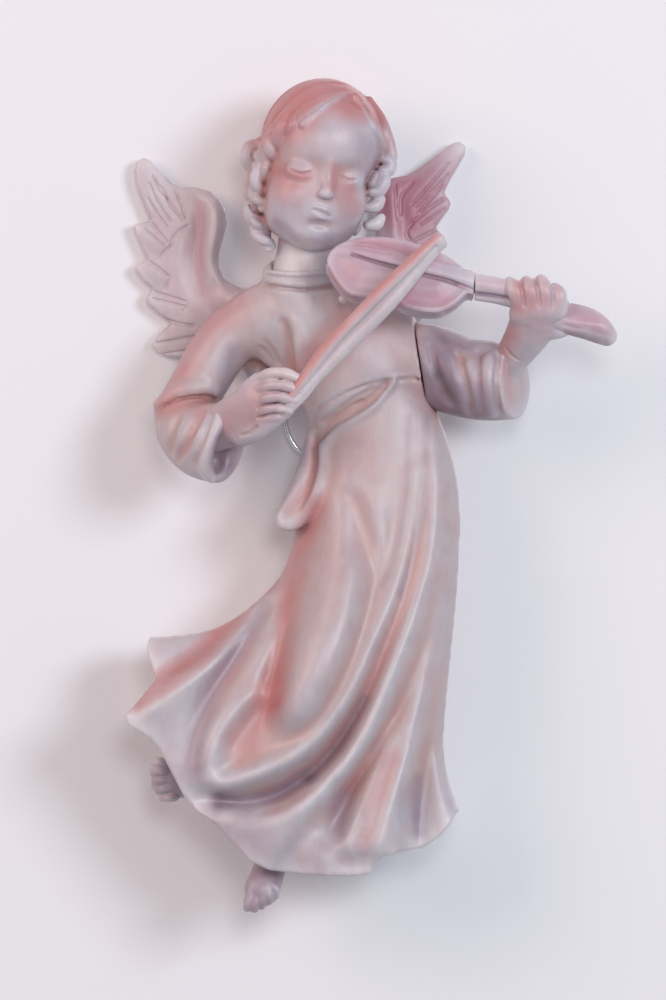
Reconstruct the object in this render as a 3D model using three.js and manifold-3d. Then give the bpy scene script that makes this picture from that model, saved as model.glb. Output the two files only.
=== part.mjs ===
// Wall-hung resin angel playing a violin, about 21 cm tall, glued up from separately cast pieces.
// Millimetres, +Z up, the figure faces -Y and hangs against a wall on its +Y side.
// The origin is the middle of the hanging eye's loop, where the split ring swings.
import * as THREE from "three";
import { mergeVertices } from "three/addons/utils/BufferGeometryUtils.js";
import Module from "manifold-3d";

const wasm = await Module();
wasm.setup();

// Driving dimensions.
const JOINT_GAP = 0.3; // glue gap between two pieces that touch
const WALL_Y = 3.5; // the plane of the wall, and of the ground back of the skirt
const EYE_LOOP_R = 2.6; // middle of the eye's wire
const EYE_WIRE_R = 0.8;
const EYE_SHANK_R = 1.1;
const EYE_SHANK_END_Y = -17; // point of the screw, inside the bodice
const RING_R = 11.7; // middle of the split ring's wire
const RING_WIRE_RADIAL = 1.3;
const RING_WIRE_AXIAL = 1.0; // one turn of the split ring; it has two
const RING_ROOM = 1.2; // kept free around the path that the ring swings through
const PEG_R = 1.5; // locating pegs in the glued joints
const ROUND_SIDES = 26;
const LIMB_SIDES = 14;
const LIMB_STEPS = 3; // rings between two stations of a limb

// ---------------------------------------------------------------- materials

const finish = (color, roughness, metalness) =>
  new THREE.MeshStandardMaterial({ color, roughness, metalness });
const resin = finish(0xc9aca6, 0.5, 0);
const hairResin = finish(0xbf938a, 0.55, 0);
const skinResin = finish(0xc8a59c, 0.45, 0);
const instrumentResin = finish(0xc09a90, 0.5, 0);
const chrome = finish(0xd8dadd, 0.15, 1);
const pegWood = finish(0xb08a5c, 0.8, 0);

// ---------------------------------------------------------------- solids

const vector = (p) => new THREE.Vector3(...p);

// A closed BufferGeometry as a manifold-3d solid.
function solid(geometry) {
  const plain = geometry.clone();
  plain.deleteAttribute("normal");
  plain.deleteAttribute("uv");
  const merged = mergeVertices(plain, 1e-4);
  return new wasm.Manifold(
    new wasm.Mesh({
      numProp: 3,
      vertProperties: new Float32Array(merged.getAttribute("position").array),
      triVerts: new Uint32Array(merged.index.array),
    }),
  );
}

// A manifold-3d solid as a named mesh. Crumbs that a cut leaves beside the main body are dropped.
function piece(name, body, material) {
  const whole = body.decompose().sort((a, b) => b.volume() - a.volume())[0];
  const cut = whole.getMesh();
  const geometry = new THREE.BufferGeometry();
  const count = cut.numProp;
  const position = new Float32Array((cut.vertProperties.length / count) * 3);
  for (let i = 0; i * 3 < position.length; i++)
    position.set(cut.vertProperties.subarray(i * count, i * count + 3), i * 3);
  geometry.setAttribute("position", new THREE.BufferAttribute(position, 3));
  geometry.setIndex(new THREE.BufferAttribute(new Uint32Array(cut.triVerts), 1));
  geometry.computeVertexNormals();
  const mesh = new THREE.Mesh(geometry, material);
  mesh.name = name;
  return mesh;
}

// Rings of points skinned into one closed body, with a fan of triangles on each end.
function skin(rings) {
  const sides = rings[0].length;
  const points = rings.flat();
  const index = [];
  for (let r = 0; r + 1 < rings.length; r++)
    for (let s = 0; s < sides; s++) {
      const a = r * sides + s;
      const b = r * sides + ((s + 1) % sides);
      index.push(a, b, b + sides, a, b + sides, a + sides);
    }
  const last = (rings.length - 1) * sides;
  const middle = (ring) =>
    ring.reduce((sum, p) => sum.add(p), new THREE.Vector3()).divideScalar(sides);
  points.push(middle(rings[0]), middle(rings[rings.length - 1]));
  for (let s = 0; s < sides; s++) {
    const t = (s + 1) % sides;
    index.push(t, s, points.length - 2, last + s, last + t, points.length - 1);
  }
  const geometry = new THREE.BufferGeometry().setFromPoints(points);
  geometry.setIndex(index);
  const made = solid(geometry);
  return made.volume() < 0 ? solid(flipped(geometry)) : made;
}

function flipped(geometry) {
  const index = Array.from(geometry.index.array);
  for (let i = 0; i < index.length; i += 3)
    [index[i + 1], index[i + 2]] = [index[i + 2], index[i + 1]];
  return geometry.clone().setIndex(index);
}

// A body of level elliptical sections, each { z, x, y, rx, ry }, grown outwards by grow.
function torso(sections, grow = 0) {
  return skin(
    sections.map(({ z, x, y, rx, ry }) =>
      Array.from({ length: ROUND_SIDES }, (_, i) => {
        const turn = (i / ROUND_SIDES) * 2 * Math.PI;
        return new THREE.Vector3(
          x + (rx + grow) * Math.cos(turn),
          y + (ry + grow) * Math.sin(turn),
          z,
        );
      }),
    ),
  );
}

// A round-ended limb: a smooth path through stations of { at: [x, y, z], r: radius }.
// depth squeezes its sections from front to back.
function limb(stations, { grow = 0, depth = 1 } = {}) {
  const path = new THREE.CatmullRomCurve3(stations.map((s) => vector(s.at)));
  const steps = (stations.length - 1) * LIMB_STEPS;
  const radiusAt = (t) => {
    const place = t * (stations.length - 1);
    const i = Math.min(Math.floor(place), stations.length - 2);
    return THREE.MathUtils.lerp(stations[i].r, stations[i + 1].r, place - i) + grow;
  };
  const rings = [];
  const ring = (centre, along, radius) => {
    const helper = vector(Math.abs(along.y) < 0.9 ? [0, 1, 0] : [1, 0, 0]);
    const u = new THREE.Vector3().crossVectors(helper, along).normalize();
    const v = new THREE.Vector3().crossVectors(along, u);
    rings.push(
      Array.from({ length: LIMB_SIDES }, (_, i) => {
        const turn = (i / LIMB_SIDES) * 2 * Math.PI;
        const offset = u.clone().multiplyScalar(radius * Math.cos(turn));
        offset.addScaledVector(v, radius * Math.sin(turn));
        offset.y *= depth;
        return centre.clone().add(offset);
      }),
    );
  };
  const cap = (t, along, ends) => {
    for (const turn of ends) {
      const r = radiusAt(t);
      const centre = path.getPoint(t).addScaledVector(along, r * Math.sin(turn));
      ring(centre, along, r * Math.cos(turn));
    }
  };
  const start = path.getTangent(0);
  const end = path.getTangent(1);
  cap(0, start, [-1.35, -0.9, -0.45]);
  for (let i = 0; i <= steps; i++)
    ring(path.getPoint(i / steps), path.getTangent(i / steps), radiusAt(i / steps));
  cap(1, end, [0.45, 0.9, 1.35]);
  return skin(rings);
}

// An ellipsoid of the given radii, leaned over about the Y axis.
function ellipsoid(centre, radii, lean = 0) {
  const geometry = new THREE.SphereGeometry(1, ROUND_SIDES, 18);
  geometry.scale(...radii);
  geometry.rotateY(lean);
  geometry.translate(...centre);
  return solid(geometry);
}

// A cylinder between two points.
function rod(from, to, radius, sides = 16) {
  const a = vector(from);
  const b = vector(to);
  const geometry = new THREE.CylinderGeometry(radius, radius, a.distanceTo(b), sides);
  geometry.applyQuaternion(
    new THREE.Quaternion().setFromUnitVectors(
      new THREE.Vector3(0, 1, 0),
      b.clone().sub(a).normalize(),
    ),
  );
  geometry.translate(...a.add(b).multiplyScalar(0.5).toArray());
  return solid(geometry);
}

// A flat shape given by [x, z] points in the figure's front plane, extruded from yBack forwards.
function plate(outline, yBack, depth) {
  const shape = new THREE.Shape(outline.map(([x, z]) => new THREE.Vector2(x, z)));
  const geometry = new THREE.ExtrudeGeometry(shape, { depth, bevelEnabled: false });
  geometry.rotateX(Math.PI / 2);
  geometry.translate(0, yBack, 0);
  return solid(geometry);
}

// A rectangle's corners as [x, z] points.
const rectangle = (x0, x1, z0, z1) => [
  [x0, z0],
  [x1, z0],
  [x1, z1],
  [x0, z1],
];

// ---------------------------------------------------------------- robe: collar, bodice and skirt

const BODICE = [
  { z: 26, x: -8.5, y: -18.5, rx: 7.6, ry: 7.2 },
  { z: 22, x: -8.7, y: -18.3, rx: 8.6, ry: 8 },
  { z: 19.5, x: -6.5, y: -17.5, rx: 13.5, ry: 9.2 },
  { z: 14, x: -1, y: -17.5, rx: 20, ry: 11.2 },
  { z: 6, x: 2, y: -17.5, rx: 19.5, ry: 12.4 },
  { z: -4, x: 7.5, y: -17.5, rx: 15.5, ry: 11.6 },
];
const SKIRT = [
  { z: -12, x: 10, y: -17.7, rx: 16, ry: 12.4 },
  { z: -25, x: 12, y: -18.5, rx: 18.6, ry: 14 },
  { z: -40, x: 11.6, y: -18.6, rx: 20, ry: 16 },
  { z: -55, x: 8.5, y: -18.2, rx: 23, ry: 20 },
  { z: -63, x: 2.5, y: -17.8, rx: 28, ry: 22 },
  { z: -68, x: -7, y: -17.5, rx: 37.5, ry: 22.5 },
  { z: -80, x: -8, y: -17.5, rx: 38, ry: 22.8 },
  { z: -88, x: -11, y: -17.5, rx: 41, ry: 23 },
  { z: -100, x: -7, y: -17.8, rx: 36, ry: 22.5 },
  { z: -112, x: -1, y: -18.4, rx: 33, ry: 21 },
  { z: -127, x: 1, y: -19, rx: 30, ry: 18 },
];
const ROBE_SECTIONS = [...BODICE, ...SKIRT];

// Everything below the skirt's slanting, scalloped hem, as [x, z] points seen from the front.
const BELOW_HEM = [
  [-60, -84],
  [-51.8, -87],
  [-47, -90],
  [-43.5, -93.2],
  [-40.3, -99.2],
  [-36.8, -106],
  [-33.5, -109.8],
  [-29, -112.6],
  [-24, -118],
  [-20.4, -122.2],
  [-13, -124.8],
  [-6, -125.4],
  [6, -126],
  [10.6, -124.6],
  [12.8, -121],
  [17, -119.4],
  [23, -119.2],
  [27, -116.2],
  [31, -111.4],
  [34, -108],
  [60, -100],
  [60, -160],
  [-60, -160],
];
const SASH = [
  { at: [-3, -27, -20], r: 5 },
  { at: [-6, -26.5, -29], r: 4.6 },
  { at: [-11, -25.5, -36.5], r: 3.6 },
];

function robeBody(grow = 0) {
  const behindWall = plate(rectangle(-80, 80, -160, 60), WALL_Y + 60, 60);
  return torso(ROBE_SECTIONS, grow)
    .add(limb(SASH, { grow }))
    .subtract(plate(BELOW_HEM, 30, 90))
    .subtract(behindWall);
}

// ---------------------------------------------------------------- head

const NECK = [
  { at: [-5.5, -20.5, 38], r: 8 },
  { at: [-8.5, -18.5, 20], r: 7 },
];
const CURLS_RIGHT = [
  { at: [-19, -21, 55], r: 4.6 },
  { at: [-19.8, -22, 44], r: 4.2 },
  { at: [-15.5, -22, 33], r: 3.6 },
];
const CURLS_LEFT = [
  { at: [12, -22, 54], r: 4.4 },
  { at: [11.5, -23, 44], r: 4 },
  { at: [8.5, -23, 37], r: 3.4 },
];
const SKULL = { centre: [-2.6, -23, 52], radii: [17, 19, 21.2], lean: 0.16 };

const headBody = (grow = 0) =>
  ellipsoid(
    SKULL.centre,
    SKULL.radii.map((r) => r + grow),
    SKULL.lean,
  )
    .add(limb(NECK, { grow }))
    .add(limb(CURLS_RIGHT, { grow }))
    .add(limb(CURLS_LEFT, { grow }));

// ---------------------------------------------------------------- arms

const RIGHT_UPPER_ARM = [
  { at: [-17, -17, 11], r: 8.6 },
  { at: [-26, -17, 0], r: 8.2 },
  { at: [-35.5, -18.5, -13], r: 8.6 },
];
const RIGHT_CUFF = [
  { at: [-35.5, -18.5, -14], r: 8.4 },
  { at: [-31, -25, -17.5], r: 9.6 },
  { at: [-27.5, -28.5, -18.5], r: 9 },
];
const RIGHT_FOREARM = [
  { at: [-28, -29, -13], r: 4.6 },
  { at: [-21, -35.5, -9], r: 5 },
  { at: [-15, -41, -5.5], r: 5.6 },
  { at: [-11.5, -43, -4], r: 4.4 },
];
const LEFT_SLEEVE = [
  { at: [17, -17, 4], r: 9 },
  { at: [28, -19, -1.5], r: 9.6 },
  { at: [38, -22, -2.5], r: 10 },
  { at: [43, -24, -2], r: 9 },
];
const LEFT_FOREARM = [
  { at: [41, -25, 4], r: 4.8 },
  { at: [47.5, -29, 10], r: 5 },
  { at: [52, -32, 17], r: 6 },
  { at: [55, -33, 19.5], r: 5.4 },
];

// The hollow mouths of the two bell sleeves.
const RIGHT_MOUTH = [
  { at: [-25, -36, -22], r: 4.2 },
  { at: [-28, -29, -20], r: 3.4 },
];
const LEFT_MOUTH = [
  { at: [52, -27, -1], r: 6 },
  { at: [46, -25, -2], r: 5 },
];

const rightSleeveBody = (grow = 0) =>
  limb(RIGHT_UPPER_ARM, { grow }).add(limb(RIGHT_CUFF, { grow })).subtract(limb(RIGHT_MOUTH));
const leftSleeveBody = (grow = 0) => limb(LEFT_SLEEVE, { grow }).subtract(limb(LEFT_MOUTH));

// ---------------------------------------------------------------- bow and violin

const BOW = [
  { at: [-18, -44, -10.5], r: 2.4 },
  { at: [5, -46, 13], r: 2.9 },
  { at: [27, -46.5, 32], r: 2.6 },
];
const NECK_JOINT_X = 35.3; // where the violin's neck is glued to its body
const VIOLIN_TILT = 0.55; // the violin's belly is turned up by this angle
const VIOLIN_THICKNESS = 7;
const VIOLIN_CENTRE = [17, -35, 22.5];
const VIOLIN_OUTLINE = [
  [-19, 3],
  [-18, -5],
  [-14, -10.5],
  [-8, -12],
  [-2.5, -9.5],
  [2.5, -9.5],
  [8, -11.2],
  [14, -9.2],
  [18.6, -4.4],
  [19.5, 1],
  [15, 7.4],
  [9.5, 10],
  [3.5, 9],
  [-2, 9],
  [-8, 12],
  [-14, 10.8],
];
const VIOLIN_LEAN = 0.14; // the scroll end is lower than the chin end
const FINGERBOARD = [
  { at: [33, -37, 19.3], r: 2.9 },
  { at: [46, -35.5, 16.5], r: 2.8 },
  { at: [57, -34.5, 13.5], r: 3 },
];
const SCROLL = [
  { at: [56, -34.5, 13.4], r: 3.4 },
  { at: [63, -34, 11.3], r: 3.8 },
  { at: [69, -34, 8.8], r: 2.6 },
];

function violinBody(grow = 0) {
  const shape = new THREE.Shape();
  shape.moveTo(...VIOLIN_OUTLINE[0]);
  shape.splineThru(
    [...VIOLIN_OUTLINE.slice(1), VIOLIN_OUTLINE[0]].map((p) => new THREE.Vector2(...p)),
  );
  const geometry = new THREE.ExtrudeGeometry(shape, {
    depth: VIOLIN_THICKNESS - 2 + 2 * grow,
    bevelSize: grow,
    bevelThickness: 1,
    bevelSegments: 1,
    curveSegments: 3,
  });
  geometry.translate(0, 0, -VIOLIN_THICKNESS / 2 + 1 - grow);
  geometry.rotateX(Math.PI / 2 - VIOLIN_TILT);
  geometry.rotateY(VIOLIN_LEAN);
  geometry.translate(...VIOLIN_CENTRE);
  return solid(geometry);
}

// The half-space on the scroll side of the glued neck joint, moved out by grow.
const beyondNeckJoint = (grow = 0) =>
  plate(rectangle(NECK_JOINT_X - grow, 90, -30, 60), 0, 90);
const neckBody = (grow = 0) =>
  limb(FINGERBOARD, { grow })
    .add(limb(SCROLL, { grow, depth: 0.8 }))
    .intersect(beyondNeckJoint(grow));

// ---------------------------------------------------------------- wings

const WING_BACK_Y = 2.6;
const WING_THICKNESS = 4.6;
const RIGHT_WING = [
  [-47.2, 53.2],
  [-43.8, 51.4],
  [-39.2, 46.4],
  [-34, 45.8],
  [-30, 44.5],
  [-27.2, 41.5],
  [-26.1, 38],
  [-26.9, 33.5],
  [-28, 28.8],
  [-27.6, 25.4],
  [-24, 20.5],
  [-17, 18],
  [-15, 8],
  [-20, -1],
  [-35.8, 2.8],
  [-45, 6.5],
  [-40.4, 11.6],
  [-46.8, 18],
  [-45.2, 20.4],
  [-49.5, 26],
  [-46.4, 28.2],
  [-49.9, 35.6],
  [-45.8, 37.8],
  [-49, 48],
];
const LEFT_WING = [
  [31, 57.2],
  [33.5, 56],
  [32.1, 52.2],
  [29.4, 47.9],
  [28.2, 44.3],
  [30.1, 42.2],
  [26.6, 36.4],
  [28.4, 33.4],
  [25, 28.6],
  [26, 24.6],
  [22.4, 19.6],
  [23.4, 14],
  [17, 5],
  [13, 8],
  [11, 20],
  [11.5, 34],
  [13, 44],
  [16, 48.4],
  [22.4, 52],
  [27.2, 55.2],
];
const RIGHT_WING_ROOT = [
  { at: [-13, -10, 12], r: 4 },
  { at: [-18, -4, 15], r: 4.2 },
  { at: [-26, -1, 18], r: 3.2 },
];
const LEFT_WING_ROOT = [
  { at: [10, -10, 13], r: 4 },
  { at: [15.4, -4, 16.4], r: 4.2 },
  { at: [19, -1, 20], r: 3.2 },
];

// The ring swings behind the bodice, so the wings keep clear of its path.
const ringHalfPath = RING_R + RING_WIRE_RADIAL / 2 + RING_ROOM;
const ringReach = RING_R + ringHalfPath;
const ringPath = plate(
  rectangle(-ringHalfPath, ringHalfPath, -ringReach, ringReach),
  WALL_Y,
  WALL_Y + 2 * RING_WIRE_AXIAL + RING_ROOM,
);
const wing = (outline, root) =>
  plate(outline, WING_BACK_Y, WING_THICKNESS).add(limb(root)).subtract(ringPath);

// ---------------------------------------------------------------- feet

const RIGHT_FOOT = [
  { at: [-31, -19, -102], r: 4 },
  { at: [-38, -20, -102.5], r: 4.6 },
  { at: [-42.2, -20.5, -103], r: 4.2 },
];
const LEFT_FOOT = [
  { at: [-13, -24, -114], r: 5 },
  { at: [-16, -26, -124], r: 4.2 },
  { at: [-18.5, -30, -131.8], r: 3.8 },
];

// ---------------------------------------------------------------- locating pegs

const PEGS = {
  head_peg: { from: [-7.2, -19.2, 30], to: [-8.8, -17.8, 13] },
  right_arm_peg: { from: [-10, -17.5, 12], to: [-24, -17, 3] },
  left_arm_peg: { from: [13, -17.2, 3], to: [28, -18.5, -1] },
  right_wing_peg: { from: [-8, -15, 9], to: [-17.4, -3, 15.4] },
  left_wing_peg: { from: [5, -15, 11], to: [15.2, -3, 16.6] },
  right_foot_peg: { from: [-28, -19, -101.8], to: [-42, -20.4, -103] },
  left_foot_peg: { from: [-13.6, -24.6, -114], to: [-17.4, -28.2, -129] },
};
const peg = (name, grow = 0) => {
  const { from, to } = PEGS[name];
  const slack = vector(to).sub(vector(from)).setLength(grow);
  return rod(
    vector(from).sub(slack).toArray(),
    vector(to).add(slack).toArray(),
    PEG_R + grow,
  );
};
const bored = (body, ...names) =>
  names.reduce((left, name) => left.subtract(peg(name, JOINT_GAP)), body);

// ---------------------------------------------------------------- hanging hardware

// The closed eye stands on its screw, which goes forwards into the bodice.
function hangingEye(grow = 0) {
  const loop = new THREE.TorusGeometry(EYE_LOOP_R, EYE_WIRE_R + grow, 10, 24);
  loop.rotateY(Math.PI / 2);
  const length = -EYE_SHANK_END_Y - EYE_LOOP_R;
  const threaded = length - 5; // the rest of the shank is plain
  const pitch = 1.2;
  const crest = EYE_SHANK_R + 0.25;
  const profile = [new THREE.Vector2(0, 0), new THREE.Vector2(EYE_SHANK_R + grow, 1)];
  for (let along = 1; along + pitch <= threaded; along += pitch) {
    profile.push(new THREE.Vector2(crest + grow, along + pitch / 2));
    profile.push(new THREE.Vector2(EYE_SHANK_R + grow, along + pitch));
  }
  profile.push(new THREE.Vector2(EYE_SHANK_R + grow, length));
  profile.push(new THREE.Vector2(0, length));
  const shank = new THREE.LatheGeometry(profile, 16);
  shank.translate(0, EYE_SHANK_END_Y, 0);
  return solid(loop).add(solid(shank));
}

// Two flat turns of wire lie side by side, with a fine groove between them.
function splitRing() {
  const inner = RING_R - RING_WIRE_RADIAL / 2;
  const outer = RING_R + RING_WIRE_RADIAL / 2;
  const groove = 0.25;
  const edge = 0.2;
  const profile = [
    [inner, -RING_WIRE_AXIAL + edge],
    [inner + edge, -RING_WIRE_AXIAL],
    [outer - edge, -RING_WIRE_AXIAL],
    [outer, -RING_WIRE_AXIAL + edge],
    [outer, -groove / 2],
    [outer - groove, 0],
    [outer, groove / 2],
    [outer, RING_WIRE_AXIAL - edge],
    [outer - edge, RING_WIRE_AXIAL],
    [inner + edge, RING_WIRE_AXIAL],
    [inner, RING_WIRE_AXIAL - edge],
    [inner, groove / 2],
    [inner + groove, 0],
    [inner, -groove / 2],
    [inner, -RING_WIRE_AXIAL + edge],
  ].map((p) => new THREE.Vector2(...p));
  const geometry = new THREE.LatheGeometry(profile, 40);
  geometry.translate(0, 0, -RING_R);
  return solid(geometry);
}

// ---------------------------------------------------------------- assembly

// Each piece is trimmed by the ones it is glued to, which are grown by the gap.
const robeCutter = robeBody(JOINT_GAP);
const rightSleeveCutter = rightSleeveBody(JOINT_GAP);
const leftSleeveCutter = leftSleeveBody(JOINT_GAP);
const bowCutter = limb(BOW, { grow: JOINT_GAP });
const violinCutter = violinBody(JOINT_GAP);
const neckCutter = neckBody(JOINT_GAP);
const headCutter = headBody(JOINT_GAP);

const robe = bored(
  robeBody().subtract(hangingEye(JOINT_GAP)),
  "head_peg",
  "right_arm_peg",
  "left_arm_peg",
  "right_wing_peg",
  "left_wing_peg",
  "right_foot_peg",
  "left_foot_peg",
);
const head = bored(headBody().subtract(robeCutter), "head_peg");
const rightSleeve = bored(rightSleeveBody().subtract(robeCutter), "right_arm_peg");
const leftSleeve = bored(leftSleeveBody().subtract(robeCutter), "left_arm_peg");
const violin = violinBody()
  .subtract(beyondNeckJoint(JOINT_GAP))
  .subtract(robeCutter)
  .subtract(headCutter)
  .subtract(bowCutter)
  .subtract(leftSleeveCutter);
const violinNeck = neckBody();
const rightHand = limb(RIGHT_FOREARM)
  .subtract(rightSleeveCutter)
  .subtract(robeCutter)
  .subtract(bowCutter);
const leftHand = limb(LEFT_FOREARM)
  .subtract(leftSleeveCutter)
  .subtract(neckCutter)
  .subtract(violinCutter);
const rightWing = bored(
  wing(RIGHT_WING, RIGHT_WING_ROOT)
    .subtract(robeCutter)
    .subtract(rightSleeveCutter)
    .subtract(headCutter),
  "right_wing_peg",
);
const leftWing = bored(
  wing(LEFT_WING, LEFT_WING_ROOT)
    .subtract(robeCutter)
    .subtract(leftSleeveCutter)
    .subtract(headCutter),
  "left_wing_peg",
);

const angel = new THREE.Group();
angel.add(
  piece("robe", robe, resin),
  piece("head", head, skinResin),
  piece("right_sleeve", rightSleeve, resin),
  piece("right_hand", rightHand, skinResin),
  piece("left_sleeve", leftSleeve, resin),
  piece("left_hand", leftHand, skinResin),
  piece("bow", limb(BOW), instrumentResin),
  piece("violin_body", violin, instrumentResin),
  piece("violin_neck", violinNeck, instrumentResin),
  piece("right_wing", rightWing, hairResin),
  piece("left_wing", leftWing, hairResin),
  piece("right_foot", bored(limb(RIGHT_FOOT).subtract(robeCutter), "right_foot_peg"), skinResin),
  piece("left_foot", bored(limb(LEFT_FOOT).subtract(robeCutter), "left_foot_peg"), skinResin),
  piece("hanging_eye", hangingEye(), chrome),
  piece("split_ring", splitRing(), chrome),
  ...Object.keys(PEGS).map((name) => piece(name, peg(name), pegWood)),
);

export default angel;
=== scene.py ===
"""The looks of a wall-hung resin angel that plays a violin.

Every visible casting is sculpted again inside its CAD solid's place: clay (a grid of signed
distances, in millimetres) is added and carved along given lines, and then skinned.
The figure faces -Y, +Z is up, and the origin is the middle of the hanging eye.
"""

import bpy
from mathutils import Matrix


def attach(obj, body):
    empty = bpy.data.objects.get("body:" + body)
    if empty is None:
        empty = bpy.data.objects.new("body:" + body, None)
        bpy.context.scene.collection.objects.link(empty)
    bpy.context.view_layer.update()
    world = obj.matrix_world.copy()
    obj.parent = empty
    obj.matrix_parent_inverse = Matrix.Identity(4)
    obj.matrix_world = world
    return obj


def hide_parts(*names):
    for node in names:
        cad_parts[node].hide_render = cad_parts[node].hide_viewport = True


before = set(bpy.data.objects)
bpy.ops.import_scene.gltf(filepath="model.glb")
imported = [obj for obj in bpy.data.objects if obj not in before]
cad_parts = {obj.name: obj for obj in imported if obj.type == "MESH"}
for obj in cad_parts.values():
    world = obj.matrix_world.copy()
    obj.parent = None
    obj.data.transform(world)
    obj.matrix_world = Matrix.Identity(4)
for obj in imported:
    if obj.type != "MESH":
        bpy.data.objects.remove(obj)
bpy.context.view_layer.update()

import copy
import math

import bpy
import numpy as np
import openvdb
from mathutils import Vector

MM = 0.001
FAR = 6.0  # distances in the clay are kept within this many millimetres
CREASE_SIZE = 0.9  # mm; how wide the narrow and the wide hollows are that take up stain and painted shade
HOLLOW_SIZE = 3.2

# ------------------------------------------------------------------ clay


def smooth_min(a, b, soft):
    """The smaller of two distances, with the crease between them filled over about soft mm."""
    blend = np.maximum(soft - np.abs(a - b), 0.0)
    return np.minimum(a, b) - blend * blend / (4.0 * soft)


def smooth_max(a, b, soft):
    return -smooth_min(-a, -b, soft)


def ease(value, low, high):
    """0 below low, 1 above high, and a smooth step between."""
    t = np.clip((value - low) / (high - low), 0.0, 1.0)
    return t * t * (3.0 - 2.0 * t)


def box_blur(values, n, times):
    """A blur over n cells each way, done times over along every axis."""
    width = 2 * n + 1
    for _ in range(times):
        for axis in range(values.ndim):
            wide = [(n + 1, n) if i == axis else (0, 0) for i in range(values.ndim)]
            total = np.cumsum(np.pad(values, wide, mode="edge"), axis=axis)
            total = np.moveaxis(total, axis, 0)
            values = np.moveaxis((total[width:] - total[:-width]) / width, 0, axis)
    return values


def smooth_line(y, n):
    """The running mean of y over n places each way."""
    width = 2 * n + 1
    return np.convolve(np.pad(y, n, mode="edge"), np.ones(width) / width, mode="valid")


def with_depth(line, y):
    """A front line (x, z, radius) as stations (x, y, z, radius)."""
    return np.column_stack([line[:, 0], y, line[:, 1:]])


def spline(stations, per=5):
    """Catmull-Rom points through the rows of stations; every column is interpolated."""
    rows = np.array(stations, float)
    ends = np.vstack([2 * rows[0] - rows[1], rows, 2 * rows[-1] - rows[-2]])
    t = np.linspace(0.0, 1.0, per, endpoint=False)[:, None]
    found = []
    for a, b, c, d in zip(ends, ends[1:], ends[2:], ends[3:]):
        found.append(
            0.5 * (2 * b + (c - a) * t + (2 * a - 5 * b + 4 * c - d) * t**2)
            + 0.5 * (3 * b - a - 3 * c + d) * t**3
        )
    return np.vstack(found + [rows[-1:]])


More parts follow.
